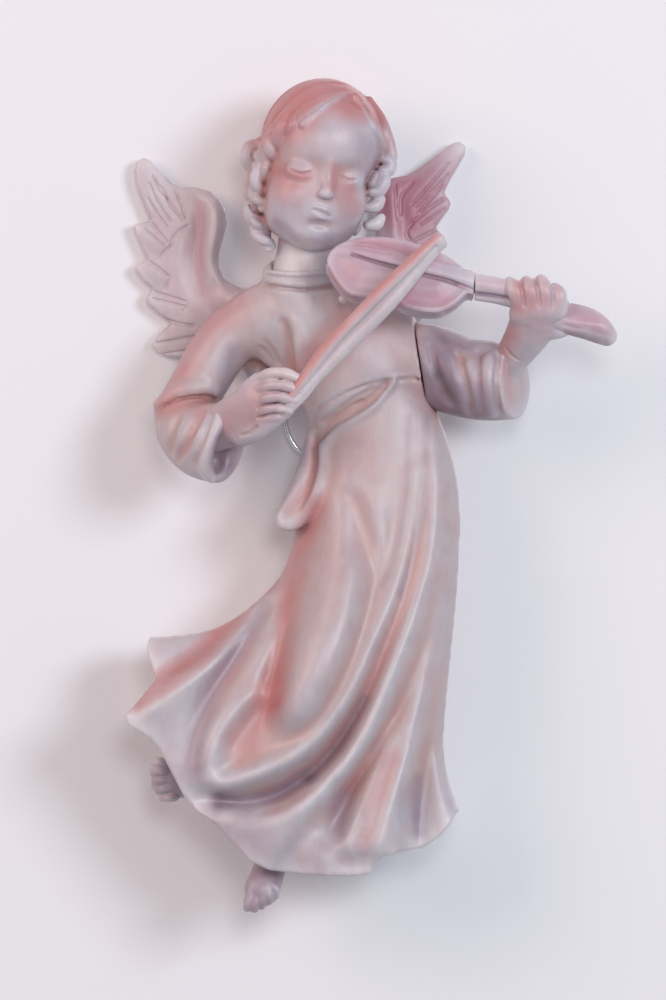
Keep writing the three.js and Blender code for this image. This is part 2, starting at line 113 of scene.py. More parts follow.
class Clay:
    """A block of signed distances in millimetres, negative inside."""

    def __init__(self, low, high, step):
        self.low = np.array(low, float)
        self.step = step
        counts = np.ceil((np.array(high, float) - self.low) / step).astype(int) + 1
        self.axes = [
            (self.low[i] + step * np.arange(counts[i])).astype(np.float32) for i in range(3)
        ]
        self.d = np.full(counts, FAR, np.float32)
        self.around = None  # this clay with its neighbours, when they shade each other

    def blank(self):
        """An empty block over the same grid."""
        made = copy.copy(self)
        made.d = np.full_like(self.d, FAR)
        return made

    def window(self, low, high):
        """The slices of the grid that hold a box."""
        cut = []
        for i in range(3):
            first = int(math.floor((low[i] - self.low[i]) / self.step))
            last = int(math.ceil((high[i] - self.low[i]) / self.step)) + 1
            first = min(max(first, 0), self.d.shape[i])
            cut.append(slice(first, min(max(last, first), self.d.shape[i])))
        return tuple(cut)

    def places(self, window=(slice(None),) * 3):
        x, y, z = (self.axes[i][window[i]] for i in range(3))
        return x[:, None, None], y[None, :, None], z[None, None, :]

    def mix(self, window, distance, soft, cut=False):
        old = self.d[window]
        if cut:
            self.d[window] = smooth_max(old, -distance, soft)
        else:
            self.d[window] = smooth_min(old, distance, soft)

    def join(self, other, soft):
        self.d = smooth_min(self.d, other.d, soft)

    def strand(self, stations, soft=1.0, flat=1.0, normal=(0, 1, 0), cut=False, per=5):
        """A round-ended rope through stations (x, y, z, radius), thinned to flat along normal."""
        path = spline(stations, per)
        reach = path[:, 3].max() + soft + 3 * self.step
        whole = self.window(path[:, :3].min(0) - reach, path[:, :3].max(0) + reach)
        shape = [s.stop - s.start for s in whole]
        if min(shape) == 0:
            return
        distance = np.full(shape, FAR, np.float32)
        for a, b in zip(path, path[1:]):
            near = self.window(np.minimum(a, b)[:3] - reach, np.maximum(a, b)[:3] + reach)
            if min(s.stop - s.start for s in near) == 0:
                continue
            local = tuple(
                slice(s.start - w.start, s.stop - w.start) for s, w in zip(near, whole)
            )
            along = b[:3] - a[:3]
            length = float(along @ along) + 1e-9
            off = [p - q for p, q in zip(self.places(near), a[:3])]
            t = np.clip(sum(o * v for o, v in zip(off, along)) / length, 0.0, 1.0)
            off = [o - t * v for o, v in zip(off, along)]
            radius = a[3] + t * (b[3] - a[3])
            if flat == 1.0:
                part = np.sqrt(sum(o * o for o in off)) - radius
            else:
                n = np.array(normal) - along * (np.array(normal) @ along) / length
                n /= np.linalg.norm(n)
                across = sum(o * v for o, v in zip(off, n))
                once = [o + across * (1 / flat - 1) * v for o, v in zip(off, n)]
                twice = [o + across * (1 / flat**2 - 1) * v for o, v in zip(off, n)]
                size = np.sqrt(sum(o * o for o in once))
                slope = np.sqrt(sum(o * o for o in twice)) + 1e-4
                part = (size - radius) * size / slope
            distance[local] = np.minimum(distance[local], part)
        self.mix(whole, distance, soft, cut)

    def ball(self, at, radii, soft=1.0, turn=None, cut=False):
        """An ellipsoid. turn is a 3x3 matrix whose columns are its own axes."""
        radii = np.broadcast_to(np.array(radii, float), 3)
        reach = radii.max() + soft + 3 * self.step
        near = self.window(np.array(at) - reach, np.array(at) + reach)
        if min(s.stop - s.start for s in near) == 0:
            return
        off = [p - q for p, q in zip(self.places(near), at)]
        if turn is not None:
            off = [sum(o * turn[j][i] for j, o in enumerate(off)) for i in range(3)]
        once = np.sqrt(sum((o / r) ** 2 for o, r in zip(off, radii)))
        twice = np.sqrt(sum((o / r**2) ** 2 for o, r in zip(off, radii))) + 1e-6
        self.mix(near, once * (once - 1.0) / twice, soft, cut)

    def slab(self, at, normal, soft=0.5):
        """Cuts away everything beyond the plane through at, on the side that normal points to."""
        n = np.array(normal, float) / np.linalg.norm(normal)
        off = [p - q for p, q in zip(self.places(), at)]
        self.d = smooth_max(self.d, sum(o * v for o, v in zip(off, n)), soft)

    def front(self, x, z):
        """How far forward (the lowest y) the clay reaches at points of the front view."""
        i = np.clip(np.rint((np.array(x) - self.low[0]) / self.step), 0, self.d.shape[0] - 1)
        k = np.clip(np.rint((np.array(z) - self.low[2]) / self.step), 0, self.d.shape[2] - 1)
        columns = self.d[i.astype(int), :, k.astype(int)]
        solid = columns < 0
        first = np.argmax(solid, axis=1)
        y = self.axes[1][first].astype(float)
        y[~solid.any(axis=1)] = np.nan
        good = np.nonzero(~np.isnan(y))[0]
        if len(good) == 0:
            return y
        return np.interp(np.arange(len(y)), good, y[good])

    def draw(self, line, depth, soft=0.5, cut=True):
        """Engraves, or raises, a line (x, z, radius) on the front of the clay, depth mm deep."""
        path = spline(line, 6)
        y = self.front(path[:, 0], path[:, 1])
        if np.isnan(y).any():
            return
        y = smooth_line(y, 2)
        lift = np.maximum(path[:, 2], 0.05) - depth
        y = y - lift if cut else y + lift
        self.strand(with_depth(path, y), soft, cut=cut, per=1)

    def blurred(self, radius):
        """The share of solid clay near each point: a half on a flat face, more in a hollow."""
        solid = self.d if self.around is None else self.around
        solid = np.clip(0.5 - solid / self.step, 0.0, 1.0).astype(np.float32)
        return box_blur(solid, max(1, int(round(radius / self.step))), 2)

    def sample(self, values, points):
        """values of the grid at points, in millimetres, linear between grid places."""
        place = (points - self.low) / self.step
        top = np.array(values.shape) - 1.001
        place = np.clip(place, 0.0, top)
        base = np.floor(place).astype(int)
        part = place - base
        found = np.zeros(len(points))
        for corner in range(8):
            step = np.array([corner & 1, corner >> 1 & 1, corner >> 2 & 1])
            weight = np.prod(np.where(step, part, 1 - part), axis=1)
            i, j, k = (base + step).T
            found += weight * values[i, j, k]
        return found

    def skin(self, name):
        """The clay's surface as a mesh object, with its hollows measured at two sizes."""
        grid = openvdb.FloatGrid(FAR)
        grid.copyFromArray(np.clip(self.d, -FAR, FAR))
        points, quads = grid.convertToQuads(0.0)
        points = self.low + np.array(points, float) * self.step
        quads = np.array(quads)
        a, b, c = (points[quads[:, i]] for i in range(3))
        if np.einsum("ij,ij->i", a, np.cross(b, c)).sum() < 0:
            quads = quads[:, ::-1]
        mesh = bpy.data.meshes.new(name)
        mesh.from_pydata(points * MM, [], quads.tolist())
        mesh.validate()
        mesh.polygons.foreach_set("use_smooth", np.ones(len(mesh.polygons), bool))
        keep_value(mesh, "crease", self.sample(self.blurred(CREASE_SIZE), points))
        keep_value(mesh, "hollow", self.sample(self.blurred(HOLLOW_SIZE), points))
        return add_object(name, mesh)


def add_object(name, data):
    made = bpy.data.objects.new(name, data)
    bpy.context.scene.collection.objects.link(made)
    return made


def keep_value(mesh, name, values):
    """Stores one number per vertex, which a material can read."""
    attribute = mesh.attributes.new(name, "FLOAT", "POINT")
    attribute.data.foreach_set("value", np.asarray(values, np.float32))


# ------------------------------------------------------------------ the front view, as a map


class Map:
    """A grid over the front view (x across, z up), in millimetres, for the robe's relief."""

    def __init__(self, x0, x1, z0, z1, step):
        self.x = np.arange(x0, x1 + step, step)
        self.z = np.arange(z0, z1 + step, step)
        self.step = step
        self.shape = (len(self.x), len(self.z))
        self.X, self.Z = np.meshgrid(self.x, self.z, indexing="ij")

    def inside(self, outline):
        found = np.zeros(self.shape, bool)
        for (xa, za), (xb, zb) in zip(outline, np.roll(outline, -1, axis=0)):
            if za == zb:
                continue
            crossing = (za > self.Z) != (zb > self.Z)
            found ^= crossing & (self.X < xa + (self.Z - za) * (xb - xa) / (zb - za))
        return found

    def distance(self, line):
        """The distance to a polyline."""
        best = np.full(self.shape, 1e6)
        for (xa, za), (xb, zb) in zip(line, line[1:]):
            dx, dz = xb - xa, zb - za
            t = ((self.X - xa) * dx + (self.Z - za) * dz) / (dx * dx + dz * dz + 1e-9)
            t = np.clip(t, 0.0, 1.0)
            gap = (self.X - xa - t * dx) ** 2 + (self.Z - za - t * dz) ** 2
            best = np.minimum(best, gap)
        return np.sqrt(best)

    def signed(self, outline):
        """The distance to a closed outline, negative inside."""
        return np.where(self.inside(outline), -1.0, 1.0) * self.distance(outline)

    def over(self, values, clay):
        """values of the map at the clay's columns."""
        i = (clay.axes[0] - self.x[0]) / self.step
        k = (clay.axes[2] - self.z[0]) / self.step
        a, c = np.floor(i).astype(int), np.floor(k).astype(int)
        p, q = (i - a)[:, None], (k - c)[None, :]
        mixed = values[np.ix_(a, c)] * (1 - p) * (1 - q) + values[np.ix_(a + 1, c)] * p * (1 - q)
        mixed += values[np.ix_(a, c + 1)] * (1 - p) * q + values[np.ix_(a + 1, c + 1)] * p * q
        return mixed[:, None, :].astype(np.float32)

    def pin(self, lines):
        """Marks the cells that lines (x, z, height) pass through, and their heights."""
        total = np.zeros(self.shape)
        count = np.zeros(self.shape)
        for line in lines:
            path = spline(line, 6)
            steps = np.linalg.norm(np.diff(path[:, :2], axis=0), axis=1)
            run = np.concatenate([[0.0], np.cumsum(steps)])
            at = np.arange(0.0, run[-1], self.step / 2)
            x, z, height = (np.interp(at, run, path[:, i]) for i in range(3))
            i = np.rint((x - self.x[0]) / self.step).astype(int)
            k = np.rint((z - self.z[0]) / self.step).astype(int)
            good = (i >= 0) & (k >= 0) & (i < self.shape[0]) & (k < self.shape[1])
            np.add.at(total, (i[good], k[good]), height[good])
            np.add.at(count, (i[good], k[good]), 1.0)
        pinned = count > 0
        return pinned, np.where(pinned, total / np.maximum(count, 1.0), 0.0)


def relax(fixed, value, source=0.0, decay=0.0, rounds=60):
    """A taut skin held at value where fixed, pushed up by source and pulled down by decay.

    It is solved on coarser and coarser copies first, which makes it quick."""
    if min(fixed.shape) > 24:
        wide = [(0, n % 2) for n in fixed.shape]
        weight = np.pad(fixed.astype(float), wide)
        held = np.pad(value * fixed, wide)
        shape = (weight.shape[0] // 2, 2, weight.shape[1] // 2, 2)
        weight = weight.reshape(shape).sum((1, 3))
        held = held.reshape(shape).sum((1, 3)) / np.maximum(weight, 1.0)
        small = relax(weight > 0, held, source * 4, decay * 4, rounds)
        skin = np.repeat(np.repeat(small, 2, 0), 2, 1)[: fixed.shape[0], : fixed.shape[1]]
    else:
        skin = np.zeros(fixed.shape)
        rounds = rounds * 6
    for _ in range(rounds):
        skin = np.where(fixed, value, skin)
        edge = np.pad(skin, 1, mode="edge")
        around = edge[:-2, 1:-1] + edge[2:, 1:-1] + edge[1:-1, :-2] + edge[1:-1, 2:]
        skin = (around + source) / (4.0 + decay)
    return np.where(fixed, value, skin)


def soften(values, radius):
    """A Gaussian-like blur over radius cells."""
    return box_blur(values, max(1, int(round(radius))), 3)


# ------------------------------------------------------------------ robe

WALL_Y = 3.3  # just in front of the wall
ROBE_MIDDLE_Y = -17.5
BODICE_REACH = 14.0  # half width at which the body stops getting deeper
BODICE_DEPTH = 1.28
SKIRT_DEPTH = 0.3  # what the skirt has more
OUTSIDE_FALL = 9.0
FOLD_GAIN = 1.12  # makes up for what the softening takes
FOLD_SOFTNESS = 2.7  # map cells
CLOTH_THICK = 3.2
HEM_HOLLOW = 12.0  # how far up the skirt is hollow

# The robe seen from the front, from the collar down the figure's right side and up its left.
# Below the hem the outline only gives the cloth room; the hem line cuts it.
ROBE_OUTLINE = np.array(
    [
        (-15.2, 28), (-16.6, 25.5), (-17.4, 22.3), (-21, 20), (-24.5, 16), (-24, 10), (-19.5, 4),
        (-14.5, -0.5), (-10, -5), (-6.8, -10), (-5.6, -14), (-5.4, -20), (-6.8, -27), (-8.2, -34),
        (-9.4, -41), (-11, -47), (-13.4, -52), (-18.6, -57.5), (-24.1, -61.8), (-30.8, -65),
        (-39.8, -66.4), (-48, -66.8), (-66, -68), (-70, -100), (-52, -128), (-34, -146), (38, -146),
        (42, -122), (33.5, -112), (30.9, -107), (28.6, -99.9), (28, -90.8), (29.3, -75.7), (31.1, -57.5),
        (32, -42), (31.7, -30), (29.7, -20), (26.2, -10), (23.2, -4), (22.2, 2), (21.8, 8), (20, 13.5),
        (14, 17.5), (6, 19.5), (0.4, 21.8), (-0.6, 25), (-1.2, 28),
    ]
)
HEM = np.array(
    [
        (-80, -60), (-45.6, -66.4), (-46.3, -69.6), (-44, -77.2), (-47.4, -81.6), (-51.4, -86),
        (-50.5, -88.4), (-46.8, -90.4), (-43.5, -93.3), (-40.3, -99.2), (-36.9, -105.8), (-33.6, -109.7),
        (-29, -112.9), (-24, -118.2), (-20.4, -122), (-15.5, -124.3), (-8, -125.2), (-1, -125.7),
        (5, -125.9), (9.6, -125.2), (11, -122.6), (12.6, -121), (17, -119.6), (22.6, -119.2),
        (26.6, -116.4), (29.4, -113.4), (31.1, -110.6), (60, -100),
    ]
)
# Folds as (x, z, height above the plain form). Ridges and valleys pull the cloth between them.
FOLDS = [
    # crest of the leg, from the hip to the shin
    [(4, -24, 0.8), (3.2, -34, 1.8), (1.6, -48, 3.6), (-0.4, -60.6, 5.2),
     (-3.2, -71, 6), (-6.4, -79, 5.8), (-8.8, -85.6, 4.6), (-9.8, -88.6, 3)],
    # its shoulders, which keep it round
    [(-2.2, -48, 2.6), (-5, -60.6, 3.8), (-8.2, -71, 4.2), (-11, -79.6, 3.6),
     (-13, -86.6, 1.8)],
    [(5.6, -48, 3), (4.2, -60.6, 4.4), (1.6, -71, 4.8), (-2, -79.6, 4.6),
     (-5.8, -87, 3.2)],
    # groove between the rear tail and the sweeping fold
    [(-12.6, -47.4, -1), (-17.4, -54.6, -3.4), (-22.4, -61, -5.4), (-28.4, -67.2, -6.8),
     (-35, -71.6, -6.8), (-42, -76.4, -5.8), (-50, -82.4, -4.6)],
    # sharp crest of the sweeping fold
    [(-9.6, -44, 0.4), (-13.6, -51.6, 1.6), (-19.4, -59.8, 2.6), (-26, -68.4, 3.6),
     (-33, -74.2, 3.8), (-43, -80.4, 3.6), (-51.6, -85.9, 3), (-60, -90, 3)],
    # valley under the sweeping fold
    [(-13.4, -56, -1.6), (-17, -60.6, -2.8), (-22.4, -68, -3.6), (-26.4, -74.4, -3.6),
     (-30.4, -81.6, -3.2), (-33.6, -89, -2.4), (-34.6, -97, -1.2)],
    # low ridge between that valley and the groove beside the leg
    [(-12.6, -61, -0.8), (-16, -69, -0.8), (-19.6, -76.6, -0.9), (-24.6, -81.4, -0.6)],
    # salmon groove beside the leg
    [(-6, -36, -0.3), (-8.4, -44, -1.4), (-10.2, -52, -2.8), (-11.8, -62, -4),
     (-13.6, -72, -4.8), (-15.2, -79, -5.2)],
    [(-15.4, -82.5, -4.4), (-17.4, -88, -3.6), (-20.4, -93.5, -2.6)],
    [(-18.8, -84, -4.2), (-21.6, -88.6, -3.4), (-25, -94, -2.4)],
    # the thin hooked fold around the pocket
    [(-17.4, -80.2, -3), (-19.4, -81, -0.6), (-23.6, -84.2, 0.6), (-27.6, -88.8, 1.2),
     (-30.6, -94.6, 1.6), (-31.6, -99.4, 1.6), (-30.2, -102.8, 1.4)],
    # crease between the pocket and the ridge below it
    [(-26.8, -99.6, -2.4), (-19, -96.8, -2), (-11, -93.4, -1), (-3.8, -87.6, -0.3),
     (1.6, -79, 0.2), (6, -69.4, -0.2), (9.6, -59, -0.8), (13.4, -48, -1.2),
     (16.6, -36.5, -1.4), (18.8, -22, -1.2), (19.3, -8, -0.6)],
    # ridge that runs under the shin and up the side
    [(-28.6, -103.8, 1.4), (-20, -100.6, 2.4), (-11, -96.6, 3), (-5, -92.6, 3.2),
     (1, -86.4, 3.2), (7, -77.4, 2.8), (11, -67.4, 2.2), (15.6, -57.4, 1.2),
     (18.6, -47.5, 0.4), (20.2, -38, 0.2), (21.2, -24, 0.2)],
    # deep valley below it, which becomes the second groove of the hip
    [(-34, -105, -2.6), (-29.6, -106.8, -6), (-21, -108.2, -8.4), (-13, -106.2, -8.6),
     (-6.4, -102, -8.2), (-1, -97, -7.6), (3.6, -90.4, -6.6), (9.4, -79.4, -5.2),
     (13.4, -69.2, -4.2), (18, -57.4, -3), (21, -46, -2.4), (22.9, -30.5, -1.6),
     (23.8, -12.5, -0.5)],
    # edge of the broad band beside it
    [(-29, -109.6, 0.6), (-20, -111.8, 1.2), (-10.4, -108.6, 1.8), (-3, -102.6, 2.4),
     (3.4, -95.4, 2.8), (8.4, -87.4, 3.2), (12.2, -78, 3.3), (16.2, -68.2, 3),
     (20.6, -56.6, 2.4), (23.6, -44, 1.8), (24.9, -32, 1.2), (25.6, -16, 0.4)],
    # the band's far side
    [(3.4, -101.4, 0.6), (9.4, -91.6, 1.4), (13.6, -82, 1.8), (18, -71, 1.8),
     (22.4, -58.4, 1.4)],
    # step between the two panels of the hem
    [(-17.6, -128, 1.6), (-13.6, -120.5, 1.2), (-6.6, -111.6, 0.8), (-1, -106, 0.4)],
    [(-14.6, -130, -1), (-10.8, -119.6, -1), (-4.4, -111, -1.4), (1, -106, -1.6)],
    # panel at the bottom
    [(0, -134, 0.8), (-0.5, -124, 0.6), (-3.2, -118.5, 0)],
    # deep notch behind the narrow pleat
    [(0.4, -116.6, -3.4), (1.8, -111.8, -6.2), (4.8, -104.8, -6.8), (8.8, -97.6, -5.6),
     (13.8, -88.6, -3.6), (18.4, -79, -1.8), (22.6, -68, -0.8), (25.4, -56, -0.4)],
    # edge of the pleat
    [(2.9, -118.6, 1.8), (5, -113.4, 1.6), (7.8, -106.4, 1), (11.2, -98.4, 0.4),
     (15.6, -89, 0)],
    # its hollow face
    [(7.2, -117.6, -0.2), (10.2, -109, -0.8), (13.8, -99.8, -1), (17.4, -91, -0.8)],
    # its free lower end, in front of the panel
    [(2.9, -118.8, 1.6), (7.2, -119.2, 0.8), (11.4, -119.2, 2.8)],
    [(2.9, -121.4, -1.2), (7.2, -121.8, -1.2), (11.4, -121.8, -0.8)],
    # thin bright ridge right of it
    [(11.4, -119, 3.2), (14, -110.4, 3.2), (16.4, -102.6, 3), (19.4, -94, 2.6),
     (23.2, -80.4, 2), (27, -65.6, 1.2), (28.6, -56, 0.6)],
    # panel and valley before the right edge
    [(16.4, -124, -0.6), (17.2, -113, -0.8), (19.4, -103, -0.6)],
    [(21, -124, -4.8), (21.8, -111, -5.4), (22.6, -102, -4.8), (24.4, -90, -2.8),
     (27, -74, -1)],
    # ridge of the right edge
    [(32, -115, 1.8), (29.4, -108, 2.4), (27, -99, 2.2), (26.6, -88, 1.4),
     (28.4, -74, 0.6)],
    # crease above the thigh
    [(3.4, -30.8, -0.1), (6.6, -35, -0.6), (9.3, -42, -1), (10.6, -51, -1),
     (8.6, -60, -0.6)],
    [(8, -30, 0.7), (11.4, -40, 0.9), (12.6, -50, 0.5)],
    # chest: folds drawn together under the bow hand
    [(-12.6, 15.5, -0.3), (-12.2, 8, -1.1), (-10.8, 2, -1.3), (-9, -2.6, -0.8)],
    [(-8.4, 14, 0.6), (-7.6, 7, 0.9), (-6.4, 1, 0.6)],
    [(-19.4, 11, -0.4), (-16.6, 4, -0.8), (-13.2, 0, -0.5)],
    [(4, 12, 1.2), (5, 4, 1.2), (8, -1, 0.4)],
    # waist above the belt, and the recess between belt and overskirt
    [(-3.2, -11, 0.2), (5.1, -4.4, 0.3), (14.2, -1.2, 0.3), (21, -0.6, 0.1)],
    [(-2.4, -15.4, -1.2), (3.6, -11.4, -1.5), (9, -7, -1.4), (15.5, -4.4, -0.7)],
]


def robe_relief():
    """The plain form's half depth, squared, and the folds' height, over the front view."""
    room = Map(-72.0, 44.0, -148.0, 33.0, 0.4)
    edge = np.vstack([ROBE_OUTLINE, ROBE_OUTLINE[:1]])
    outline = spline(edge, 3)[:, :2]
    solid = room.inside(outline)
    outside = np.where(solid, 0.0, room.distance(outline))
    decay = (room.step / BODICE_REACH) ** 2
    rise = relax(~solid, np.zeros(room.shape), room.step**2, decay)
    rise = rise - OUTSIDE_FALL * outside
    pinned, height = room.pin(FOLDS)
    # the sides hold the cloth at the plain form, but the hem is free
    sides = ~solid & (room.Z > np.where(room.X > 0, -146.0, -66.0))
    fixed = (pinned & solid) | sides
    folds = relax(fixed, np.where(sides, 0.0, height))
    folds = FOLD_GAIN * soften(folds, FOLD_SOFTNESS)
    return room, rise, folds


def make_robe():
    room, rise, folds = robe_relief()
    clay = Clay((-54, -45, -130), (36.0, WALL_Y + 1.5, 30.0), 0.5)
    x, y, z = clay.places()

    depth = BODICE_DEPTH + SKIRT_DEPTH * ease(-room.Z, 35.0, 75.0)
    square = rise * depth**2
    slope = np.hypot(*np.gradient(square, room.step))
    square, slope, lifted = (room.over(v, clay) for v in (square, slope, folds))

    def side(away, squared, steepness):
        push = np.maximum(away, 0.0)
        return (push * push - squared) / np.sqrt((2 * push) ** 2 + steepness**2 + 1.0)

    front = side(ROBE_MIDDLE_Y - y - lifted, square, slope)
    back_folds = 0.9 * np.sin(x * 0.42 + z * 0.05) * ease(-z, 20.0, 70.0)
    back = side(y - ROBE_MIDDLE_Y + back_folds, square * 1.2, slope * 1.2)
    body = smooth_max(front, back, 0.8)
    body = smooth_max(body, np.broadcast_to(y - WALL_Y, body.shape), 1.2)
    hem = room.distance(HEM)
    beyond = np.vstack([HEM, [(80, -200), (-120, -200)]])
    hem = np.where(room.inside(beyond), hem, -hem)
    above = room.over(hem, clay)
    clay.d = smooth_max(body, above, 0.7)
    # The skirt is hollow for a little way above its hem.
    hollow = smooth_max(body + CLOTH_THICK, -(above + HEM_HOLLOW), 1.5)
    clay.d = smooth_max(clay.d, -hollow, 0.8).astype(np.float32)
    trim_robe(clay)
    add_right_sleeve(clay)
    return clay


def trim_robe(clay):
    add_left_shoulder(clay)
    add_collar(clay)
    add_belt(clay)
    add_overskirt(clay)
    draw_chest_folds(clay)
    add_pleat(clay)


def add_left_shoulder(clay):
    """A stump that ends at the crack of the glued joint."""
    stump = clay.blank()
    stump.strand([(8, -17.6, 12, 7), (14.6, -17.8, 8.4, 8.4), (21, -18, 2.8, 9.4), (26, -18.4, 0.8, 9.8)],
                 1.0)
    stump.slab((22, -18, 0), (0.98, 0, 0.16), 0.4)
    clay.join(stump, 3.0)


def add_collar(clay):
    """A standing band with two fine grooves, open at the top for the neck."""
    band = clay.blank()
    band.strand([(-8.2, -18.6, 14, 9), (-8.6, -19.2, 19.6, 8.6), (-8.9, -19.8, 24, 8.3),
                 (-9.1, -20.2, 29, 8.2)], 1.0)
    band.slab((-9, -20, 25.4), (-0.02, -0.12, 1), 0.6)
    clay.join(band, 1.6)
    collar = [(-17.3, 21.2, 0.5), (-12, 20.3, 0.5), (-6, 19.9, 0.5), (-0.2, 20.8, 0.5)]
    clay.draw(collar, 0.7, 0.6)
    clay.draw([(-16.8, 23.6, 0.5), (-13, 22.9, 0.5), (-9, 22.6, 0.5), (-5, 22.8, 0.5), (-1.4, 23.4, 0.5)],
              0.3, 0.5)
    clay.ball((-8.8, -20, 27), (6.9, 6.9, 4.4), 0.8, cut=True)


def add_belt(clay):
    belt = [(-5, -9.9, 0.5), (-1.2, -7.4, 0.5), (4.6, -4.5, 0.5), (9.7, -2.7, 0.5),
            (16.3, -1.7, 0.5), (22.4, -1.5, 0.5)]
    clay.draw(belt, 0.3, 0.4, cut=False)
    clay.draw([(x + 0.3, z - 0.8, 0.4) for x, z, _ in belt], 0.22, 0.5)


def add_overskirt(clay):
    """Its edge is a roll from the belt that runs down into the free end of the sash."""
    flap = [(-4.2, -19.6, -17, 2.6), (-5, -20.4, -23, 3.2), (-6.8, -21.6, -29, 3.6),
            (-9.6, -22.6, -34.4, 3.4), (-11.4, -23, -37, 3)]
    clay.strand(flap, 1.5, flat=1.3)
    roll = np.array([(15.4, -3, 0.5), (12.6, -6.2, 0.9), (9.6, -9.6, 1.2), (4.2, -13, 1.5),
                     (0.2, -15.8, 1.8), (-1.8, -20.2, 2.1), (-2.1, -25.2, 2.1), (-3.8, -30.8, 1.9),
                     (-6.8, -36.2, 1.7), (-9.6, -38.7, 1.5), (-12, -38.6, 1.3)])
    ahead = np.array([0.3, 0.5, 0.7, 0.8, 0.9, 0.9, 0.9, 0.7, 0.4, 0.2, 0.1])
    y = clay.front(roll[:, 0], roll[:, 1])
    y = np.minimum(y, np.interp(np.arange(len(y)), [0, 7, 9, 10], [0, -27.4, -26.4, -25.6]))
    clay.strand(with_depth(roll, y + roll[:, 2] - 1.6 * ahead), 1.3)
    clay.draw([(-4.4, -17, 0.6), (-4.8, -23, 1.1), (-6.8, -29.4, 1.3), (-10.4, -34.6, 1.2),
               (-12, -36.4, 0.8)], 0.6, 1.6)
    clay.draw([(13.4, -3.6, 0.5), (9.6, -7.4, 0.9), (4.4, -10.8, 1.1), (0, -13.4, 1.1),
               (-3.2, -16.8, 0.9)], 0.5, 1.4)


def draw_chest_folds(clay):
    """Folds drawn together under the bow hand, and small pleats between belt and roll."""
    clay.draw([(-12.6, 11.6, 0.6), (-11.2, 8, 1.3), (-10.6, 3.4, 1.4), (-10, -1, 0.8)], 0.4, 2.4)
    clay.draw([(-8.4, 12, 0.9), (-7.6, 7.4, 1.6), (-7.4, 1, 1.2)], 0.45, 2.4, cut=False)
    clay.draw([(-20.2, 8.4, 0.5), (-17.6, 5.4, 0.8), (-14.6, 1.6, 0.7)], 0.35, 1.2)
    clay.draw([(-17.4, 8.6, 0.5), (-14.8, 4.4, 0.6), (-12.4, 0.6, 0.5)], 0.3, 1.0)
    for line in ([(10.2, -4.6, 0.4), (5.4, -7.4, 0.5), (0.6, -10.6, 0.5), (-3, -13.4, 0.4)],
                 [(7.4, -7.8, 0.4), (3, -10.2, 0.5), (-1.6, -13.6, 0.4)]):
        clay.draw(line, 0.4, 0.7)


def add_pleat(clay):
    """A narrow pleat of the skirt, with a free lower end."""
    pleat = np.array([(7.3, -123, 3.9), (8.6, -114, 3.4), (11.4, -106, 2.7),
                      (15, -98, 1.9), (19.4, -90.5, 0.9)])
    y = clay.front(pleat[:, 0], pleat[:, 1]) + 0.9
    end = clay.blank()
    end.strand(with_depth(pleat, y), 0.5, flat=0.5)
    end.slab((7, -20, -119.4), (-0.1, 0, -1), 0.3)
    clay.join(end, 0.8)


ROBE_TINT_AND_SHADE = [
    # salmon beside the leg, in the pocket and along the rear fold: partly stain, partly a painted warm
    # reflection on faces turned to the left
    ([(-4, -34), (-8.4, -46), (-10.6, -58), (-12.6, -72), (-15, -82)], 2.8, 0.72),
    ([(-16, -82), (-19, -88), (-22, -92)], 5.0, 0.6),
    ([(-17, -54), (-24, -63), (-31, -69.5), (-40, -76), (-48, -82.4)], 2.8, 0.95),
    ([(-26, -110), (-14, -108.8), (-5, -103.4)], 1.8, 0.6),
    ([(7.6, -118), (11, -106), (14.6, -97)], 2.4, 0.45),
    ([(7, -20), (3, -46)], 8.0, 0.25),
    # painted shade: dark in the deepest folds
    ([(-28, -107), (-21, -108.2), (-13, -106), (-6, -101.6)], 2.0, -1.4),
    ([(-6, -101.6), (1, -94.5), (8, -82)], 1.5, -0.8),
    ([(2.6, -107), (1.6, -114)], 2.6, -0.8),
    ([(21.8, -102), (21.6, -115)], 1.6, -0.7),
    # painted shade: grey in the long valleys, and on the panel of the hem
    ([(-17, -58), (-23, -68.5), (-30, -80.5), (-33.4, -90), (-33, -98)], 2.6, -0.8),
    ([(19, -12), (18.6, -30), (16, -44), (12.6, -54)], 1.0, -0.5),
    ([(23.5, -12), (22.8, -34), (19.9, -46.6), (17, -56)], 1.0, -0.5),
    ([(17.4, -118), (18.8, -104)], 2.6, -0.4),
    ([(-27, -113), (-14, -120), (0, -123)], 5.0, -0.5),
    ([(-44, -86), (-36, -100)], 3.6, -0.3),
    # bow arm: salmon on the outside, partly a painted warm reflection; painted shade, grey, inside the
    # arm and the cuff
    ([(-24, 17.5), (-31, 11.5), (-36, 3), (-41, -5)], 4.0, 0.6),
    ([(-43, -10.4), (-38, -9), (-32, -8.6)], 2.2, 0.6),
    ([(-33, -12), (-36.4, -20)], 1.6, 0.4),
    ([(-25, 4), (-25.4, -5)], 2.6, -0.7),
    ([(-26.6, -18), (-27.6, -23)], 2.8, -1.4),
    # chest: the salmon along the upper side of the bow is a painted shadow of the bow
    ([(-9, -2), (-2, 7), (3, 12)], 3.0, 0.7),
    ([(-11.2, 12), (-10.6, 3)], 1.4, 0.25),
    ([(10, 2), (18, 7)], 5.0, -0.35),
    ([(16, -3), (23, -9)], 3.0, -0.4),
    ([(-4.6, -18), (-6.6, -29), (-10.4, -35)], 1.5, 0.4),
]
LEFT_SLEEVE_TINT_AND_SHADE = [
    # painted shade: grey to dark over the lower part and along the top; salmon in two grooves of the cuff
    ([(26, -2), (33, -9)], 7.0, -1.6),
    ([(26, 9), (39, 5.6)], 3.6, -0.7),
    ([(32.6, 2), (34.6, -10)], 2.0, 0.8),
    ([(43.4, 2), (43.6, -9)], 1.4, 0.6),
]


# ------------------------------------------------------------------ head


